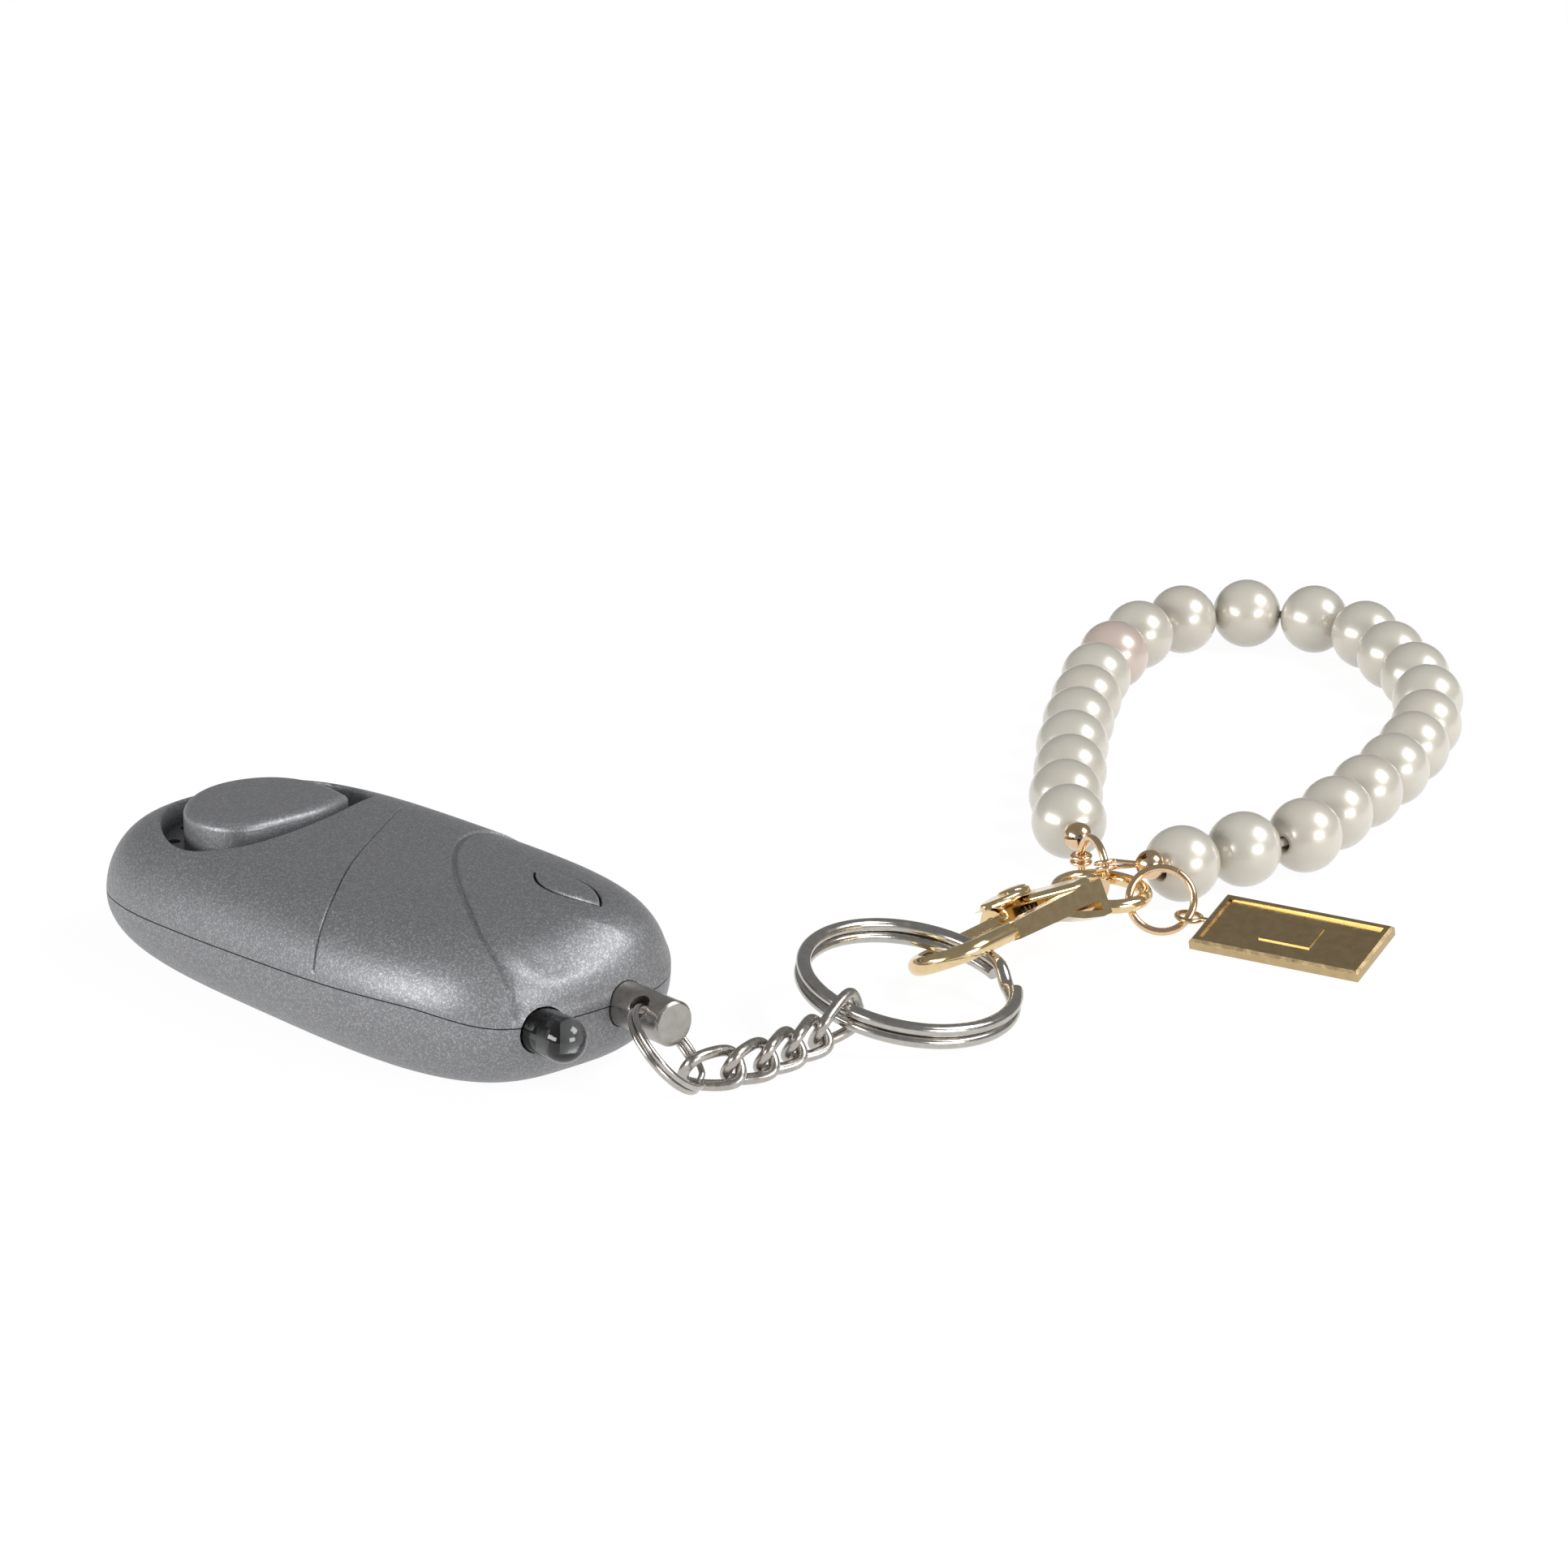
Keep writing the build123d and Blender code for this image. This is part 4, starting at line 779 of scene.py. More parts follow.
def cut_along(work, values_of, level, locked):
    """Cuts the faces along the line where a value of place has a level."""
    work.verts.ensure_lookup_table()
    value = dict(zip(work.verts, values_of(positions(work)) - level))
    on_line = {v for v, amount in value.items() if abs(amount) < ON_LINE}
    for edge in list(work.edges):
        a, b = edge.verts
        if a in on_line or b in on_line or value[a] * value[b] > 0:
            continue
        share = value[a] / (value[a] - value[b])
        point = a if share < NEAR_END else b if share > 1 - NEAR_END else None
        spot = a.co.lerp(b.co, share)
        if point is None or point in locked:
            point = bmesh.utils.edge_split(edge, a, share)[1]
        point.co = spot
        value[point] = 0.0
        on_line.add(point)
    for face in list(work.faces):
        found = [v for v in face.verts if v in on_line]
        if len(found) == 2 and not any(found[1] in e.verts for e in found[0].link_edges):
            bmesh.utils.face_split(face, found[0], found[1])
    locked |= on_line


def drop_inside(work, values_of):
    """Removes the faces on the negative side of a cut."""
    middles = np.array([face.calc_center_median() for face in work.faces])
    doomed = [face for face, amount in zip(work.faces, values_of(middles)) if amount < 0]
    bmesh.ops.delete(work, geom=doomed, context="FACES")


print("cuts move points within", NEAR_END, "of an edge")

# %% [markdown]
# The pull pin and the lamp pass through the seam, so each half of the casing has half of each hole. Like the
# features above, a hole is given by a distance that is negative inside it: here, to the axis of the pin, the lamp
# or a screw. A large value switches a feature off where it doesn't belong, such as at the casing's tail.

# %% Distances to the casing's features
PIN_Y, PIN_Z, PIN_HOLE = 4.2, 8.5, 2.62
LAMP_Y, LAMP_Z, LAMP_HOLE = -6.8, 8.2, 2.68
SCREW_PLACES, SCREW_HOLE = [(18.0, -12.6), (18.0, 12.6), (-7.5, -12.6), (-7.5, 12.6)], 2.0
RECESS_FLOOR = 12.6
KEY_GAP = 0.2
CREASE_Y, CREASE_SWING, CREASE_TURN = 2.0, 5.5, (30.5, 36.5)
FAR = 99.0


def soft_step(amount, low, high):
    """Rises from 0 to 1 between two amounts, with soft ends."""
    share = np.clip((amount - low) / (high - low), 0.0, 1.0)
    return share * share * (3 - 2 * share)


def nose_hole(y, z, radius):
    """The rule of a round hole through the nose."""
    def value(spots):
        away = np.hypot(spots[:, 1] - y, spots[:, 2] - z) - radius
        return np.where(spots[:, 0] > HALF_LENGTH / 2, away, FAR)
    return value


pin_value = nose_hole(PIN_Y, PIN_Z, PIN_HOLE)
lamp_value = nose_hole(LAMP_Y, LAMP_Z, LAMP_HOLE)


def screw_value(spots):
    away = np.min([np.hypot(spots[:, 0] - x, spots[:, 1] - y) for x, y in SCREW_PLACES], axis=0) - SCREW_HOLE
    return np.where(spots[:, 2] < SEAM_REAR / 2, away, FAR)


def arch_value(spots):
    """Distance to the panel's edge, positive on the panel."""
    return np.where(spots[:, 2] > SEAM_REAR, -line_distance(spots[:, :2], arch_line), FAR)


def crease_side(x):
    """Where the panel's crease lies; it swings to the far side of the nose."""
    return CREASE_Y + CREASE_SWING * soft_step(x, *CREASE_TURN)


def crease_value(spots):
    return spots[:, 1] - crease_side(spots[:, 0])


def cross_value(spots):
    return line_distance(spots[:, :2], cross_line)


def recess_value(spots):
    return np.where(spots[:, 2] > RECESS_FLOOR, outside(spots[:, :2], recess_line), FAR)


def key_value(spots):
    return np.where(spots[:, 2] > RECESS_FLOOR, outside(spots[:, :2], lens_line(KEY_GAP)), FAR)


print("holes through the nose", 2 * PIN_HOLE, 2 * LAMP_HOLE)

# %% [markdown]
# The cut skin is then shaped by how far each of its points lies from the lines. The panel sinks behind a groove,
# and its near half slopes down from a crease. The hairline is a small V, and the mouths of the recess and of the
# key's hole are rounded. Last, the skin gets its wall, which Solidify puts on the inside.

# %% Upper shell
PANEL_DROP = 0.22
ARCH_DEPTH, ARCH_HALF = 0.34, 0.24
ARCH_LEVELS = (-ARCH_HALF - 0.1, -ARCH_HALF, ARCH_HALF, ARCH_HALF + 0.16)
CROSS_DEPTH, CROSS_HALF = 0.3, 0.18
FACET_SLOPE, FACET_X, FACET_IN, FACET_LIFT = 0.2, (12.0, 33.0), 7.0, (2.5, 8.5)
RIM_ROUND, RIM_STEP, RIM_NEAR, KEY_RIM = 0.35, 0.12, 0.02, 0.1
FEATURE_FADE = (0.4, 1.6)
SHELL_ANGLE = math.radians(38.0)


def facet_fall(spots, away, lift):
    """How far the near half of the front panel slopes down from its crease; it fades out at its edges."""
    past = np.maximum(-crease_value(spots), 0.0)
    ends = soft_step(spots[:, 0], *FACET_X) * soft_step(away, ARCH_HALF, FACET_IN) * soft_step(lift, *FACET_LIFT)
    return FACET_SLOPE * past * ends


def rim_fall(away, radius):
    """How far a quarter round of a radius takes the skin down at a distance from a hole."""
    left = radius - np.clip(away, 0.0, radius)
    return radius - np.sqrt(np.maximum(radius ** 2 - left ** 2, 0.0))


def shell(name, work, node):
    """Gives a skin its wall and makes it a finished half of the casing."""
    obj = piece_from(name, work, casing_paint)
    wall_step = obj.modifiers.new("wall", "SOLIDIFY")
    wall_step.thickness = WALL * MM
    wall_step.offset = -1.0
    wall_step.use_rim = True
    applied(obj)
    smoothed(obj.data, SHELL_ANGLE)
    give(obj, "alarm", "silver_casing", node)
    print(name, "faces", len(obj.data.polygons))


upper = grid_work(upper_rows)
locked = set()
for values_of, levels in ((recess_value, (0.0, RIM_STEP, RIM_ROUND)), (key_value, (0.0, KEY_RIM)),
                          (pin_value, (0.0,)), (lamp_value, (0.0,)), (arch_value, ARCH_LEVELS),
                          (cross_value, (-CROSS_HALF, 0.0, CROSS_HALF)), (crease_value, (0.0,))):
    for cut_level in levels:
        cut_along(upper, values_of, cut_level, locked)
for values_of in (recess_value, key_value, pin_value, lamp_value):
    drop_inside(upper, values_of)
upper.normal_update()
spots = positions(upper)
away = arch_value(spots)
lift = spots[:, 2] - seam_height(spots[:, 0]) - seam_arch(spots[:, 0])
fade = soft_step(lift, *FEATURE_FADE)
on_panel = soft_step(away, *ARCH_LEVELS[2:])
sink = PANEL_DROP * on_panel + ARCH_DEPTH * soft_step(away, *ARCH_LEVELS[:2]) * (1 - on_panel)
sink *= np.where(np.abs(away) < FAR / 2, fade, 0.0)
hairline = 1 - soft_step(np.abs(cross_value(spots)), 0.0, CROSS_HALF)
sink += CROSS_DEPTH * hairline * fade * (away < -ARCH_HALF)
fall = rim_fall(recess_value(spots), RIM_ROUND) + rim_fall(key_value(spots), KEY_RIM)
fall += facet_fall(spots, away, lift)
for v, inward, down in zip(upper.verts, sink, fall):
    v.co -= v.normal * float(inward)
    v.co.z -= float(down)


def at_recess(vert):
    return abs(float(recess_value(np.array([vert.co]))[0])) < RIM_NEAR


recess_edges = [e for e in upper.edges if e.is_boundary and all(at_recess(v) for v in e.verts)]
for part in bmesh.ops.extrude_edge_only(upper, edges=recess_edges)["geom"]:
    if isinstance(part, bmesh.types.BMVert):
        part.co.z = RECESS_FLOOR
shell("upper_shell", upper, "upper_casing")

# %% [markdown]
# The underside is not seen in the photograph. It is plain, with the four deep screw holes that such casings have.

# %% Lower shell
lower = grid_work(lower_rows)
locked = set()
for values_of in (pin_value, lamp_value, screw_value):
    cut_along(lower, values_of, 0.0, locked)
for values_of in (pin_value, lamp_value, screw_value):
    drop_inside(lower, values_of)
shell("lower_shell", lower, "lower_casing")
print("screw holes", len(SCREW_PLACES))

# %% [markdown]
# The siren cover is one moulding: a plate below the recess, pierced by a row of sound holes, and the raised leaf
# that stands on it. The leaf's near edge is a wide soft round, which catches a long highlight. It is built up as
# loops of equal point counts, joined by bands, with the plate's holes filled round by triangles.

# %% Siren cover
LEAF_TOP, LEAF_CENTRE = 17.5, (-21.3, -1.2)
LEAF_STEPS = 132
LEAF_EDGE_IN, LEAF_EDGE_DROP, LEAF_CROWN = 1.5, 1.0, 0.12
CROWN_SHARES = (0.88, 0.74, 0.58, 0.42, 0.26, 0.12)
COVER_THICK, COVER_MARGIN = 1.2, 0.6
SOUND_HOLES, SOUND_RADIUS, SOUND_SIDES = 14, 0.7, 24


def even_loop(line, count):
    """A closed line as points at equal steps; the first point isn't repeated."""
    share = even_steps(line, count + 1)[:-1]
    known = np.linspace(0.0, 1.0, len(line))
    return np.c_[np.interp(share, known, line[:, 0]), np.interp(share, known, line[:, 1])]


def moved_in(loop, amount):
    """A clockwise closed loop moved to its inside."""
    along = np.roll(loop, -2, 0) - np.roll(loop, 2, 0)
    along /= np.linalg.norm(along, axis=1)[:, None]
    return loop + np.c_[along[:, 1], -along[:, 0]] * amount


def loop_edges(work, verts):
    return [work.edges.new((a, b)) for a, b in zip(verts, verts[1:] + verts[:1])]


def leaf_plane(loop):
    """Height of the leaf's top over points in plan; it slopes with the casing's top."""
    return LEAF_TOP + (TOP_FRONT - TOP_REAR) / (2 * HALF_LENGTH) * (loop[:, 0] - LEAF_CENTRE[0])


leaf_foot = even_loop(leaf_line, LEAF_STEPS)
plate_edge = moved_in(even_loop(recess_line, LEAF_STEPS), -COVER_MARGIN)
near_foot, far_foot = even_loop(leaf_line, 2 * SOUND_HOLES), even_loop(recess_line, 2 * SOUND_HOLES)
hole_spots = (near_foot[1::2] + far_foot[1::2]) / 2
hole_turns = np.linspace(0.0, 2 * math.pi, SOUND_SIDES, endpoint=False)
hole_ring = np.c_[np.cos(hole_turns), np.sin(hole_turns)] * SOUND_RADIUS
cover = bmesh.new()
plate_rows = []
for level in (RECESS_FLOOR - COVER_THICK, RECESS_FLOOR):
    rows = [loop_verts(cover, loop, level) for loop in (plate_edge, *[hole_ring + spot for spot in hole_spots])]
    plate_rows.append(rows)
    if level == RECESS_FLOOR:
        rows = rows + [loop_verts(cover, leaf_foot, level)]
    bounding = [edge for row in rows for edge in loop_edges(cover, row)]
    bmesh.ops.triangle_fill(cover, edges=bounding, use_beauty=True, normal=(0, 0, 1))
for lower_row, upper_row in zip(*plate_rows):
    band(cover, lower_row, upper_row)
leaf_rows = [rows[-1]]
for turn in np.linspace(0.0, QUARTER, 9):
    loop = moved_in(leaf_foot, LEAF_EDGE_IN * (1 - math.cos(turn)))
    leaf_rows.append(loop_verts(cover, loop, leaf_plane(loop) - LEAF_EDGE_DROP * (1 - math.sin(turn))))
for share in CROWN_SHARES:
    inner = LEAF_CENTRE + (loop - LEAF_CENTRE) * share
    leaf_rows.append(loop_verts(cover, inner, leaf_plane(inner) + LEAF_CROWN * (1 - share ** 2)))
stack_rows(cover, leaf_rows, top_face=True)
siren_cover = piece_from("siren_leaf", cover, leaf_paint)
give(siren_cover, "alarm", "silver_leaf", "siren_cover")
print("siren cover faces", len(siren_cover.data.polygons), "holes", len(hole_spots))

# %% [markdown]
# The torch key is an eye-shaped button. Its top follows the casing's own skin, a little proud of the sunken panel
# round it, and a flange under the panel keeps it in. The plunger below it reaches down to the switch.

# %% Torch key
KEY_PROUD, KEY_ROUND = 0.08, 0.5
KEY_LOW, KEY_FLANGE, PLUNGER_LOW = 15.42, 15.75, 13.82
FLANGE_OUT, KEY_IN = 0.7, -0.15
KEY_TOP_ROWS = ((-0.7, -0.01), (-1.1, -0.02), (-1.5, -0.03), (-1.9, -0.03))


def casing_height(spots):
    """Height of the upper skin over points in plan, by halving the pull until the point lies on its row."""
    low, high = np.zeros(len(spots)), np.full(len(spots), HALF_WIDTH - 0.01)
    for _ in range(40):
        pull = (low + high) / 2
        form = (np.abs(spots[:, 0]) / (HALF_LENGTH - pull)) ** PLAN_POWER
        form += (np.abs(spots[:, 1]) / (HALF_WIDTH - pull)) ** PLAN_POWER
        low, high = np.where(form < 1, pull, low), np.where(form < 1, high, pull)
    rise = np.sin(np.arccos(np.clip(1 - pull / HALF_WIDTH, 0.0, 1.0) ** (SHOULDER_POWER / 2)))
    return (seam_height(spots[:, 0]) + SEAM_GAP / 2) * (1 - rise) + top_height(spots[:, 0]) * rise


key = bmesh.new()
key_rows = [loop_verts(key, lens_line(margin)[:-1], height)
            for margin, height in ((FLANGE_OUT, KEY_LOW), (FLANGE_OUT, KEY_FLANGE), (KEY_IN, KEY_FLANGE))]
key_round = [(KEY_IN - KEY_ROUND * (1 - math.cos(t)), KEY_ROUND * (1 - math.sin(t)))
             for t in np.linspace(0.0, QUARTER, 6)]
for margin, drop in (*key_round, *KEY_TOP_ROWS):
    loop = lens_line(margin)[:-1]
    key_rows.append(loop_verts(key, loop, casing_height(loop) + KEY_PROUD - drop))
stack_rows(key, key_rows, low_face=True)
last_row = key_rows[-1]
for k in range(len(last_row) // 2):
    add_face(key, [last_row[k], last_row[k + 1], last_row[-k - 1], last_row[-k]])
torch_key = piece_from("torch_key", key, casing_paint)
plunger = turned("torch_plunger", [(0, PLUNGER_LOW), (1.0, PLUNGER_LOW), (1.0, KEY_LOW), (0, KEY_LOW)], 32,
                 casing_paint, frame_matrix((*BUTTON_CENTRE, 0.0), (1, 0, 0), (0, 0, 1)))
give(torch_key, "button", "silver_casing", "torch_button")
give(plunger, "button", "silver_casing")
print("key faces", len(torch_key.data.polygons))

# %% [markdown]
# The lamp is a clear moulded dome on a flange, and the pull pin is a turned steel pin with a cross hole for its
# ring. Both are profiles spun about their own axes. The hole is cut with a drill-shaped cutter.

# %% Lamp and pull pin
LAMP_BASE, LAMP_FLANGE, LAMP_FLANGE_RADIUS, LAMP_BARREL, LAMP_RADIUS = 33.6, 1.0, 2.9, 6.1, 2.5
PIN_START, PIN_END, PIN_RADIUS, PIN_EDGE = 24.0, 44.6, 2.5, 0.25
CROSS_HOLE_X, CROSS_HOLE_RADIUS, CROSS_ROLL = 41.1, 1.3, math.radians(38.0)
lamp_profile = [(0, 0), (LAMP_FLANGE_RADIUS, 0), (LAMP_FLANGE_RADIUS, LAMP_FLANGE), (LAMP_RADIUS, LAMP_FLANGE),
                (LAMP_RADIUS, LAMP_BARREL)]
lamp_profile += [(LAMP_RADIUS * math.cos(t), LAMP_BARREL + LAMP_RADIUS * math.sin(t))
                 for t in np.linspace(0.0, QUARTER, 19)[1:-1]] + [(0, LAMP_BARREL + LAMP_RADIUS)]
lamp = turned("torch_dome", lamp_profile, 72, clear_lamp,
              frame_matrix((LAMP_BASE, LAMP_Y, LAMP_Z), (0, 0, 1), (1, 0, 0)))
give(lamp, "alarm", "clear_lamp", "torch_led")

hole_axis = Vector((0, -math.cos(CROSS_ROLL), math.sin(CROSS_ROLL)))
hole_centre = Vector((CROSS_HOLE_X, PIN_Y, PIN_Z))
pin_length = PIN_END - PIN_START
pin_profile = [(0, 0), (PIN_RADIUS - PIN_EDGE, 0), (PIN_RADIUS, PIN_EDGE)]
pin_profile += [(PIN_RADIUS, length) for length in np.arange(1.0, pin_length - 0.4, 0.5)]
pin_profile += [(PIN_RADIUS, pin_length - PIN_EDGE), (PIN_RADIUS - PIN_EDGE, pin_length),
                (PIN_RADIUS - 0.9, pin_length), (0, pin_length)]
pull_pin = turned("pull_pin_turned", pin_profile, 96, nickel_pin,
                  frame_matrix((PIN_START, PIN_Y, PIN_Z), (0, 0, 1), (1, 0, 0)))
drill_profile = [(0, -4), (CROSS_HOLE_RADIUS, -4), (CROSS_HOLE_RADIUS, 4), (0, 4)]
drill = turned("drill", drill_profile, 64, nickel_pin, frame_matrix(hole_centre, (1, 0, 0), hole_axis))
cut_hole = pull_pin.modifiers.new("cross_hole", "BOOLEAN")
cut_hole.operation = "DIFFERENCE"
cut_hole.solver = "EXACT"
cut_hole.object = drill
rounded_edges(pull_pin, 0.1, 2, harden=False)
bpy.data.objects.remove(drill)
smoothed(pull_pin.data)
give(pull_pin, "pin", "nickel_pin", "pull_pin")
print("pin faces", len(pull_pin.data.polygons))

# %% [markdown]
# A split ring is one wire wound twice, lying on itself, with one short ramp between its two turns. Both ends stay
# visible. The small ring goes through the pin's hole, and the large one is the key ring.

# %% Split rings
RING_STEPS = 300
RING_SWING, RING_OUTER, RING_WIRE, RING_LIFT = math.radians(33.0), 11.2, 0.7, 0.37
KEY_CENTRE, KEY_RISE = (43.3, 38.4, 4.2), (-0.205, -0.045)
KEY_OUTER, KEY_WIRE, KEY_LIFT = 25.0, (1.6, 1.42), 0.73


def split_ring(name, outer, wire, lift, ramp_at, sides, matrix):
    """Two turns of wire, low then high, in the plane of a matrix, with a short ramp between them."""
    width, height = wire
    radius = outer / 2 - width / 2
    points = []
    for turn in np.linspace(0.5 / sides + 0.004, 2 - 1.5 / sides, RING_STEPS):
        rise = float(soft_step(turn, 1 - 0.5 / sides, 1 + 0.5 / sides))
        angle = math.radians(ramp_at) + 2 * math.pi * turn
        points.append(matrix @ on_circle(radius, angle, lift * (2 * rise - 1)) / MM)
    ring = wire_piece(name, points, nickel_ring, width, height)
    print(name, "faces", len(ring.data.polygons))
    return ring


ring_drop = Vector((0, -math.sin(CROSS_ROLL), -math.cos(CROSS_ROLL)))
ring_out = Vector((1, 0, 0)) * math.cos(RING_SWING) + ring_drop * math.sin(RING_SWING)
ring_radius = (RING_OUTER - RING_WIRE) / 2
ring_centre = hole_centre + ring_out * (ring_radius - PIN_RADIUS ** 2 / 4 / ring_radius)
pin_ring = split_ring("pin_split_ring", RING_OUTER, (RING_WIRE, RING_WIRE), RING_LIFT, -70.0, 20,
                      frame_matrix(ring_centre, ring_out, ring_out.cross(hole_axis)))
give(pin_ring, "pin_ring", "nickel_ring", "pin_ring")
key_ring = split_ring("key_split_ring", KEY_OUTER, KEY_WIRE, KEY_LIFT, 74.0, 24,
                      frame_matrix(KEY_CENTRE, (1, 0, KEY_RISE[0]), (-KEY_RISE[0], -KEY_RISE[1], 1.0)))
give(key_ring, "key_ring", "nickel_ring", "key_ring")

# %% [markdown]
# Curb chain links are long loops twisted about the chain's line, so that they lie flat against each other. Each
# loop here is a stadium with a twist, and it rides on its own body.

# %% Chain
LINK_WIRE, LINK_SLACK = 1.25, 0.25
CHAIN_CONTACTS = [(45.7, 5.4, 3.3), (47.1, 10.1, 2.95), (47.4, 14.4, 2.9), (46.8, 18.8, 2.9), (46.0, 23.2, 2.95),
                  (45.44, 28.4, 4.35)]
LINK_FORMS = [(5.2, -80.0, 86.0)] * 4 + [(6.1, -40.0, 106.0)]
STADIUM_SHARES = [(1, 0.6), (0.6, 1), (-0.6, 1), (-1, 0.6), (-1, -0.6), (-0.6, -1), (0.6, -1), (1, -0.6)]


def softened(points, times=4):
    """A closed polygon whose corners are cut again and again until it is a smooth loop."""
    points = np.array(points)
    for _ in range(times):
        ahead = np.roll(points, -1, 0)
        points = np.stack([points * 0.75 + ahead * 0.25, points * 0.25 + ahead * 0.75], 1).reshape(-1, 3)
    return points


for number, (width, twist, roll) in enumerate(LINK_FORMS, 1):
    start, end = Vector(CHAIN_CONTACTS[number - 1]), Vector(CHAIN_CONTACTS[number])
    along = (end - start).normalized()
    level = Vector((-along.y, along.x, 0)).normalized()
    side = level * math.cos(math.radians(roll)) + along.cross(level) * math.sin(math.radians(roll))
    half_pitch, half_side = ((end - start).length + LINK_SLACK) / 2, (width - LINK_WIRE) / 2
    corners = []
    for share_x, share_y in STADIUM_SHARES:
        turn = math.radians(twist / 2) * share_x
        corners.append((share_x * (half_pitch + LINK_WIRE / 2), share_y * half_side * math.cos(turn),
                        share_y * half_side * math.sin(turn)))
    place = frame_matrix((start + end) / 2, along, along.cross(side))
    points = [place @ Vector(p) / MM for p in softened(corners)]
    link = wire_piece("curb_link_%d" % number, points, nickel_chain, LINK_WIRE, closed=True, sides=24)
    give(link, "link_%d" % number, "nickel_chain", "chain_link_%d" % number)
print("links", len(LINK_FORMS))

# %% [markdown]
# The snap hook is a small casting, and its body is a copy of the model's solid with rounded edges. Its bolt is
# such a copy too, cut off below its plain plate, because the real thumb plate is a rounded leaf with a round pad.
# Leaf and pad are drawn in the hook's own axes and ride on the bolt.

# %% Snap hook and bolt
HOOK_BASE, HOOK_BOW, HOOK_TILT = Vector((36.25, 68.8, 4.8)), Vector((40.05, 48.2, 4.35)), math.radians(25.0)
BOLT_SIDE, PLATE_LOW = 4.4, 2.05
PLATE_ENDS, PLATE_HALF, PLATE_THICK, PLATE_ROUND, PLATE_TAPER = (1.2, 9.2), 2.35, 0.75, 0.4, 0.3
PAD_SPOT, PAD_RADIUS, PAD_EDGE, PAD_RISE = 3.5, 1.7, 0.15, 0.45
OVERLAP, BOLT_CUT = 0.03, 0.02
hook_casting = crisp_copy("hook_body", "hook_casting", pale_gold, 0.14)
give(hook_casting, "hook", "pale_gold", "hook_body")
hook_along = (HOOK_BOW - HOOK_BASE).normalized()
hook_level = Vector((0, 0, 1)).cross(hook_along).normalized()
hook_up = hook_along.cross(hook_level) * math.cos(HOOK_TILT) - hook_level * math.sin(HOOK_TILT)
hook_place = frame_matrix(HOOK_BASE, hook_along, hook_up)
bolt_work = merged_copy("hook_bolt")
bmesh.ops.bisect_plane(bolt_work, geom=bolt_work.verts[:] + bolt_work.edges[:] + bolt_work.faces[:],
                       plane_co=hook_place @ Vector((0, 0, PLATE_LOW + BOLT_CUT)), plane_no=hook_up,
                       clear_outer=True)
bmesh.ops.holes_fill(bolt_work, edges=[e for e in bolt_work.edges if e.is_boundary])
bmesh.ops.recalc_face_normals(bolt_work, faces=bolt_work.faces)
thumb_bolt = finished("thumb_bolt", mesh_of("thumb_bolt", bolt_work), pale_gold)
give(thumb_bolt, "bolt", "pale_gold", "hook_bolt")


def leaf_loop(inset, count=96):
    """Outline of the thumb plate, drawn in by an amount: round at the pad and narrow at its tip."""
    turns = np.linspace(0.0, 2 * math.pi, count, endpoint=False)
    middle, reach = sum(PLATE_ENDS) / 2, (PLATE_ENDS[1] - PLATE_ENDS[0]) / 2 - inset
    taper = 1 - PLATE_TAPER * soft_step(np.cos(turns), -0.2, 1.0)
    return np.c_[middle + reach * np.cos(turns), (PLATE_HALF * taper - inset) * np.sin(turns) - BOLT_SIDE]


leaf_work = bmesh.new()
leaf_rows = [loop_verts(leaf_work, leaf_loop(0.0), PLATE_LOW)]
for turn in np.linspace(0.0, QUARTER, 7):
    height = PLATE_LOW + PLATE_THICK - PLATE_ROUND * (1 - math.sin(turn))
    leaf_rows.append(loop_verts(leaf_work, leaf_loop(PLATE_ROUND * (1 - math.cos(turn))), height))
stack_rows(leaf_work, leaf_rows, low_face=True, top_face=True)
thumb_leaf = piece_from("thumb_leaf", leaf_work, pale_gold, hook_place)
give(thumb_leaf, "bolt", "pale_gold")
pad_profile = [(0, 0), (PAD_RADIUS, 0), (PAD_RADIUS, PAD_EDGE)]
pad_profile += [(PAD_RADIUS * math.cos(t), PAD_EDGE + (PAD_RISE - PAD_EDGE) * math.sin(t))
                for t in np.linspace(0, QUARTER, 8)[1:-1]] + [(0, PAD_RISE)]
pad_foot = hook_place @ Vector((PAD_SPOT, -BOLT_SIDE, PLATE_LOW + PLATE_THICK - OVERLAP)) / MM
thumb_pad = turned("thumb_pad", pad_profile, 48, pale_gold, frame_matrix(pad_foot, hook_along, hook_up))
give(thumb_pad, "bolt", "pale_gold")
print("hook faces", len(hook_casting.data.polygons), "bolt faces", len(thumb_bolt.data.polygons))

# %% [markdown]
# The swivel eye is an oval of wire on a turned stem that sits in the hook's base. The jump rings are circles of
# wire with a fine cut, and the charm is the model's plate with rounded edges.

# %% Swivel, jump rings and charm
UP = Vector((0, 0, 1))
EYE_CENTRE, EYE_WIRE, EYE_WIDTH, EYE_LENGTH = Vector((35.8, 74.5, 4.0)), 1.6, 12.4, 10.8
eye_x, eye_y = (EYE_WIDTH - EYE_WIRE) / 2, (EYE_LENGTH - EYE_WIRE) / 2
eye_points = [EYE_CENTRE + Vector((eye_x * math.cos(t), eye_y * math.sin(t), 0))
              for t in np.linspace(0.0, 2 * math.pi, 120, endpoint=False)]
eye = wire_piece("swivel_loop", eye_points, pale_gold, EYE_WIRE, closed=True, sides=28)
give(eye, "swivel", "pale_gold", "swivel_eye")
eye_reach = -(EYE_CENTRE - HOOK_BASE).dot(hook_along) - EYE_LENGTH / 2 + EYE_WIRE
stem_profile = [(0, -eye_reach), (0.8, -eye_reach), (1.3, 0.9 - eye_reach), (1.0, 1.4 - eye_reach), (1.0, 1.8),
                (1.3, 1.85), (1.3, 2.55), (0, 2.6)]
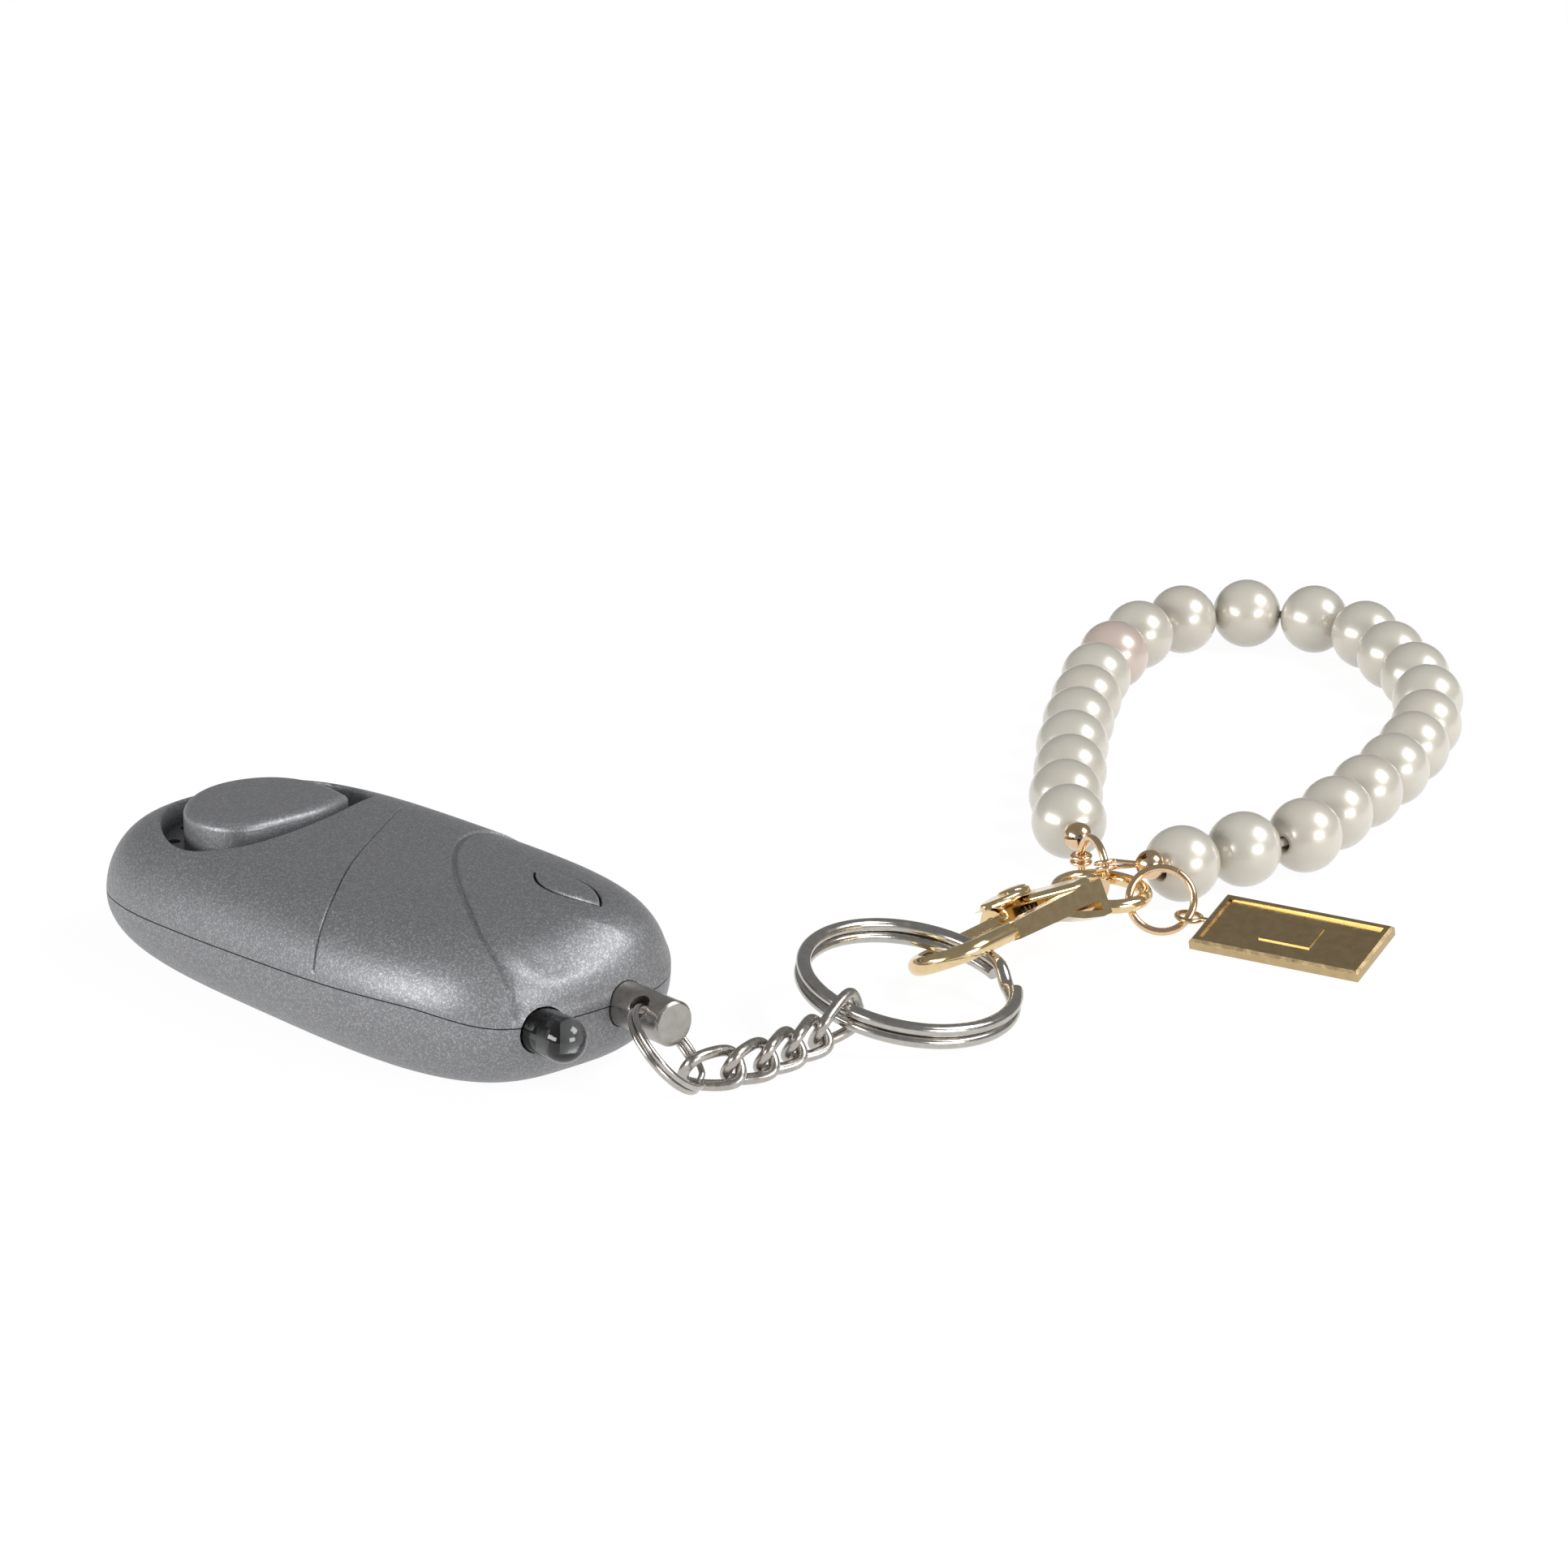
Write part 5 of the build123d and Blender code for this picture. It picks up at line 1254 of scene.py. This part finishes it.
stem = turned("swivel_stem", stem_profile, 36, pale_gold, frame_matrix(HOOK_BASE, UP, hook_along))
give(stem, "swivel", "pale_gold")


def jump_ring(name, outer, centre, x_dir, normal, cut_at, node):
    """A round ring of wire with a hairline cut where it was opened; it rides on its node's own body."""
    matrix = frame_matrix(centre, x_dir, normal)
    radius = (outer - JUMP_WIRE) / 2
    points = [matrix @ on_circle(radius, math.radians(t + cut_at)) / MM for t in np.linspace(0.4, 359.6, 121)]
    give(wire_piece(name, points, rose_gold, JUMP_WIRE, sides=24), node, "rose_gold", node)


JUMP_WIRE = 0.9
strand_out = Vector((0.94, -0.34, 0.0)).normalized()
jump_ring("strand_jump_ring", 8.0, (30.46, 78.46, 4.3), strand_out, strand_out.cross(UP), 120.0, "strand_ring")
charm_normal = Vector((0.653, -0.569, 0.5)).normalized()
jump_ring("charm_jump_ring", 8.2, (41.8, 78.15, 3.75), UP.cross(charm_normal), charm_normal, 60.0, "charm_ring")
charm_plate = crisp_copy("charm_bar", "charm_plate", charm_gold, 0.1)
give(charm_plate, "charm", "charm_gold", "charm_bar")
print("stem reach", round(eye_reach, 2), "charm faces", len(charm_plate.data.polygons))

# %% [markdown]
# The thread is one smooth line whose control points lie between the pearls, from one bead tip to the other. Its
# length is measured on the bare line, before the line gets its thickness.

# %% Thread
STRAND_Z = 4.4
THREAD, THREAD_LENGTH = 1.0, 0.2215
THREAD_ROUTE = [(22.1, 84.0, 4.7)] + [(x, y, STRAND_Z) for x, y in [
    (20.8, 84.9), (13.2, 89.9), (7.1, 96.9), (0.6, 103.3), (-5.8, 109.9), (-11.5, 116.9), (-17.3, 123.6),
    (-22.9, 131.1), (-27.1, 139.2), (-30.7, 147.6), (-29.3, 156.8), (-23.4, 163.7), (-14.4, 166.4),
    (-5.6, 164.0), (1.7, 159.0), (10.2, 156.0), (16.4, 147.9), (23.4, 141.5), (26.1, 133.1),
    (31.6, 125.8), (32.9, 116.7), (37.8, 109.2), (39.0, 100.1), (35.3, 91.7), (36.7, 82.5)]] + [(36.8, 81.2, 5.9)]
strand_thread = curve_through("strand_thread", THREAD_ROUTE, "NURBS")
thread_data = strand_thread.data
thread_data.splines[0].order_u = 3
thread_data.splines[0].use_endpoint_u = True
thread_data.splines[0].resolution_u = 12
thread_line = np.array([v.co for v in evaluated_mesh(strand_thread).vertices])
thread_length = float(np.linalg.norm(np.diff(thread_line, axis=0), axis=1).sum())
thread_data.bevel_depth = THREAD / 2 * MM
thread_data.bevel_resolution = 4
thread_data.use_fill_caps = True
thread_data.materials.append(thread)
print("thread length", round(thread_length, 4), "points", len(thread_line))

# %% [markdown]
# One pearl is a turned ball with a bore and a small worn mouth at each end. Its profile closes on itself inside
# the bore, so the ball has no open edge.

# %% One pearl
PEARLS, PINK_PEARL = 24, 8
PEARL_RADIUS, BORE_RADIUS, MOUTH_RADIUS = 4.4, 0.8, 1.05
SMALLEST_PEARL, PEARL_SEED, TINT_SEED = 0.985, 3, 11
low_turn = math.asin(MOUTH_RADIUS / PEARL_RADIUS)
bore_end = [(BORE_RADIUS, 3.2), (BORE_RADIUS + 0.02, 4.0), (MOUTH_RADIUS - 0.06, 4.24)]
pearl_profile = [(radius, -length) for radius, length in bore_end]
pearl_profile += [(PEARL_RADIUS * math.sin(t), -PEARL_RADIUS * math.cos(t))
                  for t in np.linspace(low_turn, math.pi - low_turn, 33)]
pearl_profile += [*bore_end[::-1], pearl_profile[0]]
pearl_form = turned("pearl_form", pearl_profile, 56, pearl_coat, Matrix.Scale(MM, 4))
join_seam = bmesh.new()
join_seam.from_mesh(pearl_form.data)
bmesh.ops.remove_doubles(join_seam, verts=join_seam.verts, dist=0.001 * MM)
bmesh.ops.recalc_face_normals(join_seam, faces=join_seam.faces)
join_seam.to_mesh(pearl_form.data)
join_seam.free()
smoothed(pearl_form.data, WIRE_ANGLE)
print("pearl faces", len(pearl_form.data.polygons))

# %% [markdown]
# A second Geometry Nodes tree puts a copy of the pearl on every point of a mesh, turned along the thread, rolled
# by chance and a touch smaller by chance. The seed is fixed, so the strand is the same each time. One ball and a
# list of points are easier to change than 24 balls.

# %% Geometry Nodes: pearls on the thread
pearl_tree, pearl_inputs, start, finish = geometry_tree("pearls_on_points", (
    ("Pearl", "Object", None), ("Smallest", "Float", SMALLEST_PEARL), ("Seed", "Int", PEARL_SEED)))
model = add_node(pearl_tree, "GeometryNodeObjectInfo")
along_field = add_node(pearl_tree, "GeometryNodeInputNamedAttribute", {"Name": "along"},
                       data_type="FLOAT_VECTOR")
aim = add_node(pearl_tree, "FunctionNodeAlignEulerToVector", axis="Z")
place_pearls = add_node(pearl_tree, "GeometryNodeInstanceOnPoints")
roll = add_node(pearl_tree, "FunctionNodeRandomValue", {3: 2 * math.pi}, data_type="FLOAT")
roll_turn = add_node(pearl_tree, "ShaderNodeCombineXYZ")
roll_step = add_node(pearl_tree, "GeometryNodeRotateInstances", {"Local Space": True})
size = add_node(pearl_tree, "FunctionNodeRandomValue", {3: 1.0}, data_type="FLOAT")
realize = add_node(pearl_tree, "GeometryNodeRealizeInstances")
paint_pearls = add_node(pearl_tree, "GeometryNodeSetMaterial")
link_nodes(pearl_tree, (start, "Geometry", place_pearls, "Points"), (start, "Pearl", model, 0),
           (model, "Geometry", place_pearls, "Instance"), (along_field, "Attribute", aim, "Vector"),
           (aim, 0, place_pearls, "Rotation"), (start, "Seed", roll, "Seed"), (start, "Seed", size, "Seed"),
           (start, "Smallest", size, 2), (size, 1, place_pearls, "Scale"), (roll, 1, roll_turn, "Z"),
           (place_pearls, 0, roll_step, "Instances"), (roll_turn, 0, roll_step, "Rotation"),
           (roll_step, 0, realize, 0), (realize, 0, paint_pearls, "Geometry"),
           (start, "Material", paint_pearls, "Material"), (paint_pearls, 0, finish, 0))
print("pearl tree inputs", list(pearl_inputs))

# %% [markdown]
# The points are the middles of the model's pearls. Each stores the direction of the thread beside it and a tint,
# and the pink pearl near one end has the strongest tint.

# %% Strand
pearl_names = ["pearl_%02d" % (index + 1) for index in range(PEARLS)]
spots, ways, tints = [], [], []
tone = np.random.default_rng(TINT_SEED)
for index, name in enumerate(pearl_names):
    centre = np.mean(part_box(name), axis=0)
    nearest = int(np.clip(np.linalg.norm(thread_line - centre, axis=1).argmin(), 1, len(thread_line) - 2))
    spots.append(centre)
    ways.append(thread_line[nearest + 1] - thread_line[nearest - 1])
    tints.append(0.8 if index + 1 == PINK_PEARL else float(tone.uniform(0.0, 0.14)))
points_mesh = bpy.data.meshes.new("pearl_points")
points_mesh.from_pydata([tuple(spot) for spot in spots], [], [])
points_mesh.attributes.new("along", "FLOAT_VECTOR", "POINT").data.foreach_set("vector", np.array(ways).ravel())
points_mesh.attributes.new("tint", "FLOAT", "POINT").data.foreach_set("value", tints)
strung = grown_mesh(placed("pearl_points", points_mesh), pearl_tree, pearl_inputs, Pearl=pearl_form,
                    Smallest=SMALLEST_PEARL, Seed=PEARL_SEED, Material=pearl_coat)
bpy.data.objects.remove(pearl_form)
pearl_strand = finished("pearl_strand", strung, pearl_coat, WIRE_ANGLE)
give(pearl_strand, "strand", "pearl", *pearl_names)
give(strand_thread, "strand", "cord", "strand_cord")
print("pearl faces", len(pearl_strand.data.polygons), "tint stored", "tint" in pearl_strand.data.attributes)

# %% [markdown]
# The pieces inside the casing, the bolt's spring and the bead tips keep the model's own shapes, which are already
# right. Each one only takes its material.


# %% Materials of the pieces that stay
def dress(material, *names):
    """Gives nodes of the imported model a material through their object's slots."""
    for name in names:
        for slot in nodes[name].material_slots:
            slot.link = "OBJECT"
            slot.material = material


dress(black_plastic, "sound_chamber", "torch_switch", "control_chip")
dress(disc_brass, "siren_disc")
dress(ceramic, "siren_ceramic")
dress(lamp_leads, "led_leads")
dress(board_green, "circuit_board")
dress(ferrite, "step_up_coil")
dress(contact_metal, "pin_contacts", "cell_contacts")
dress(cell_steel, "button_cells", "case_screws")
dress(wire_red, "siren_wires")
dress(spring_steel, "bolt_spring")
dress(rose_gold, "calotte_left", "calotte_right")
print("dressed nodes", sum(1 for node in nodes.values() if not node.hide_render))
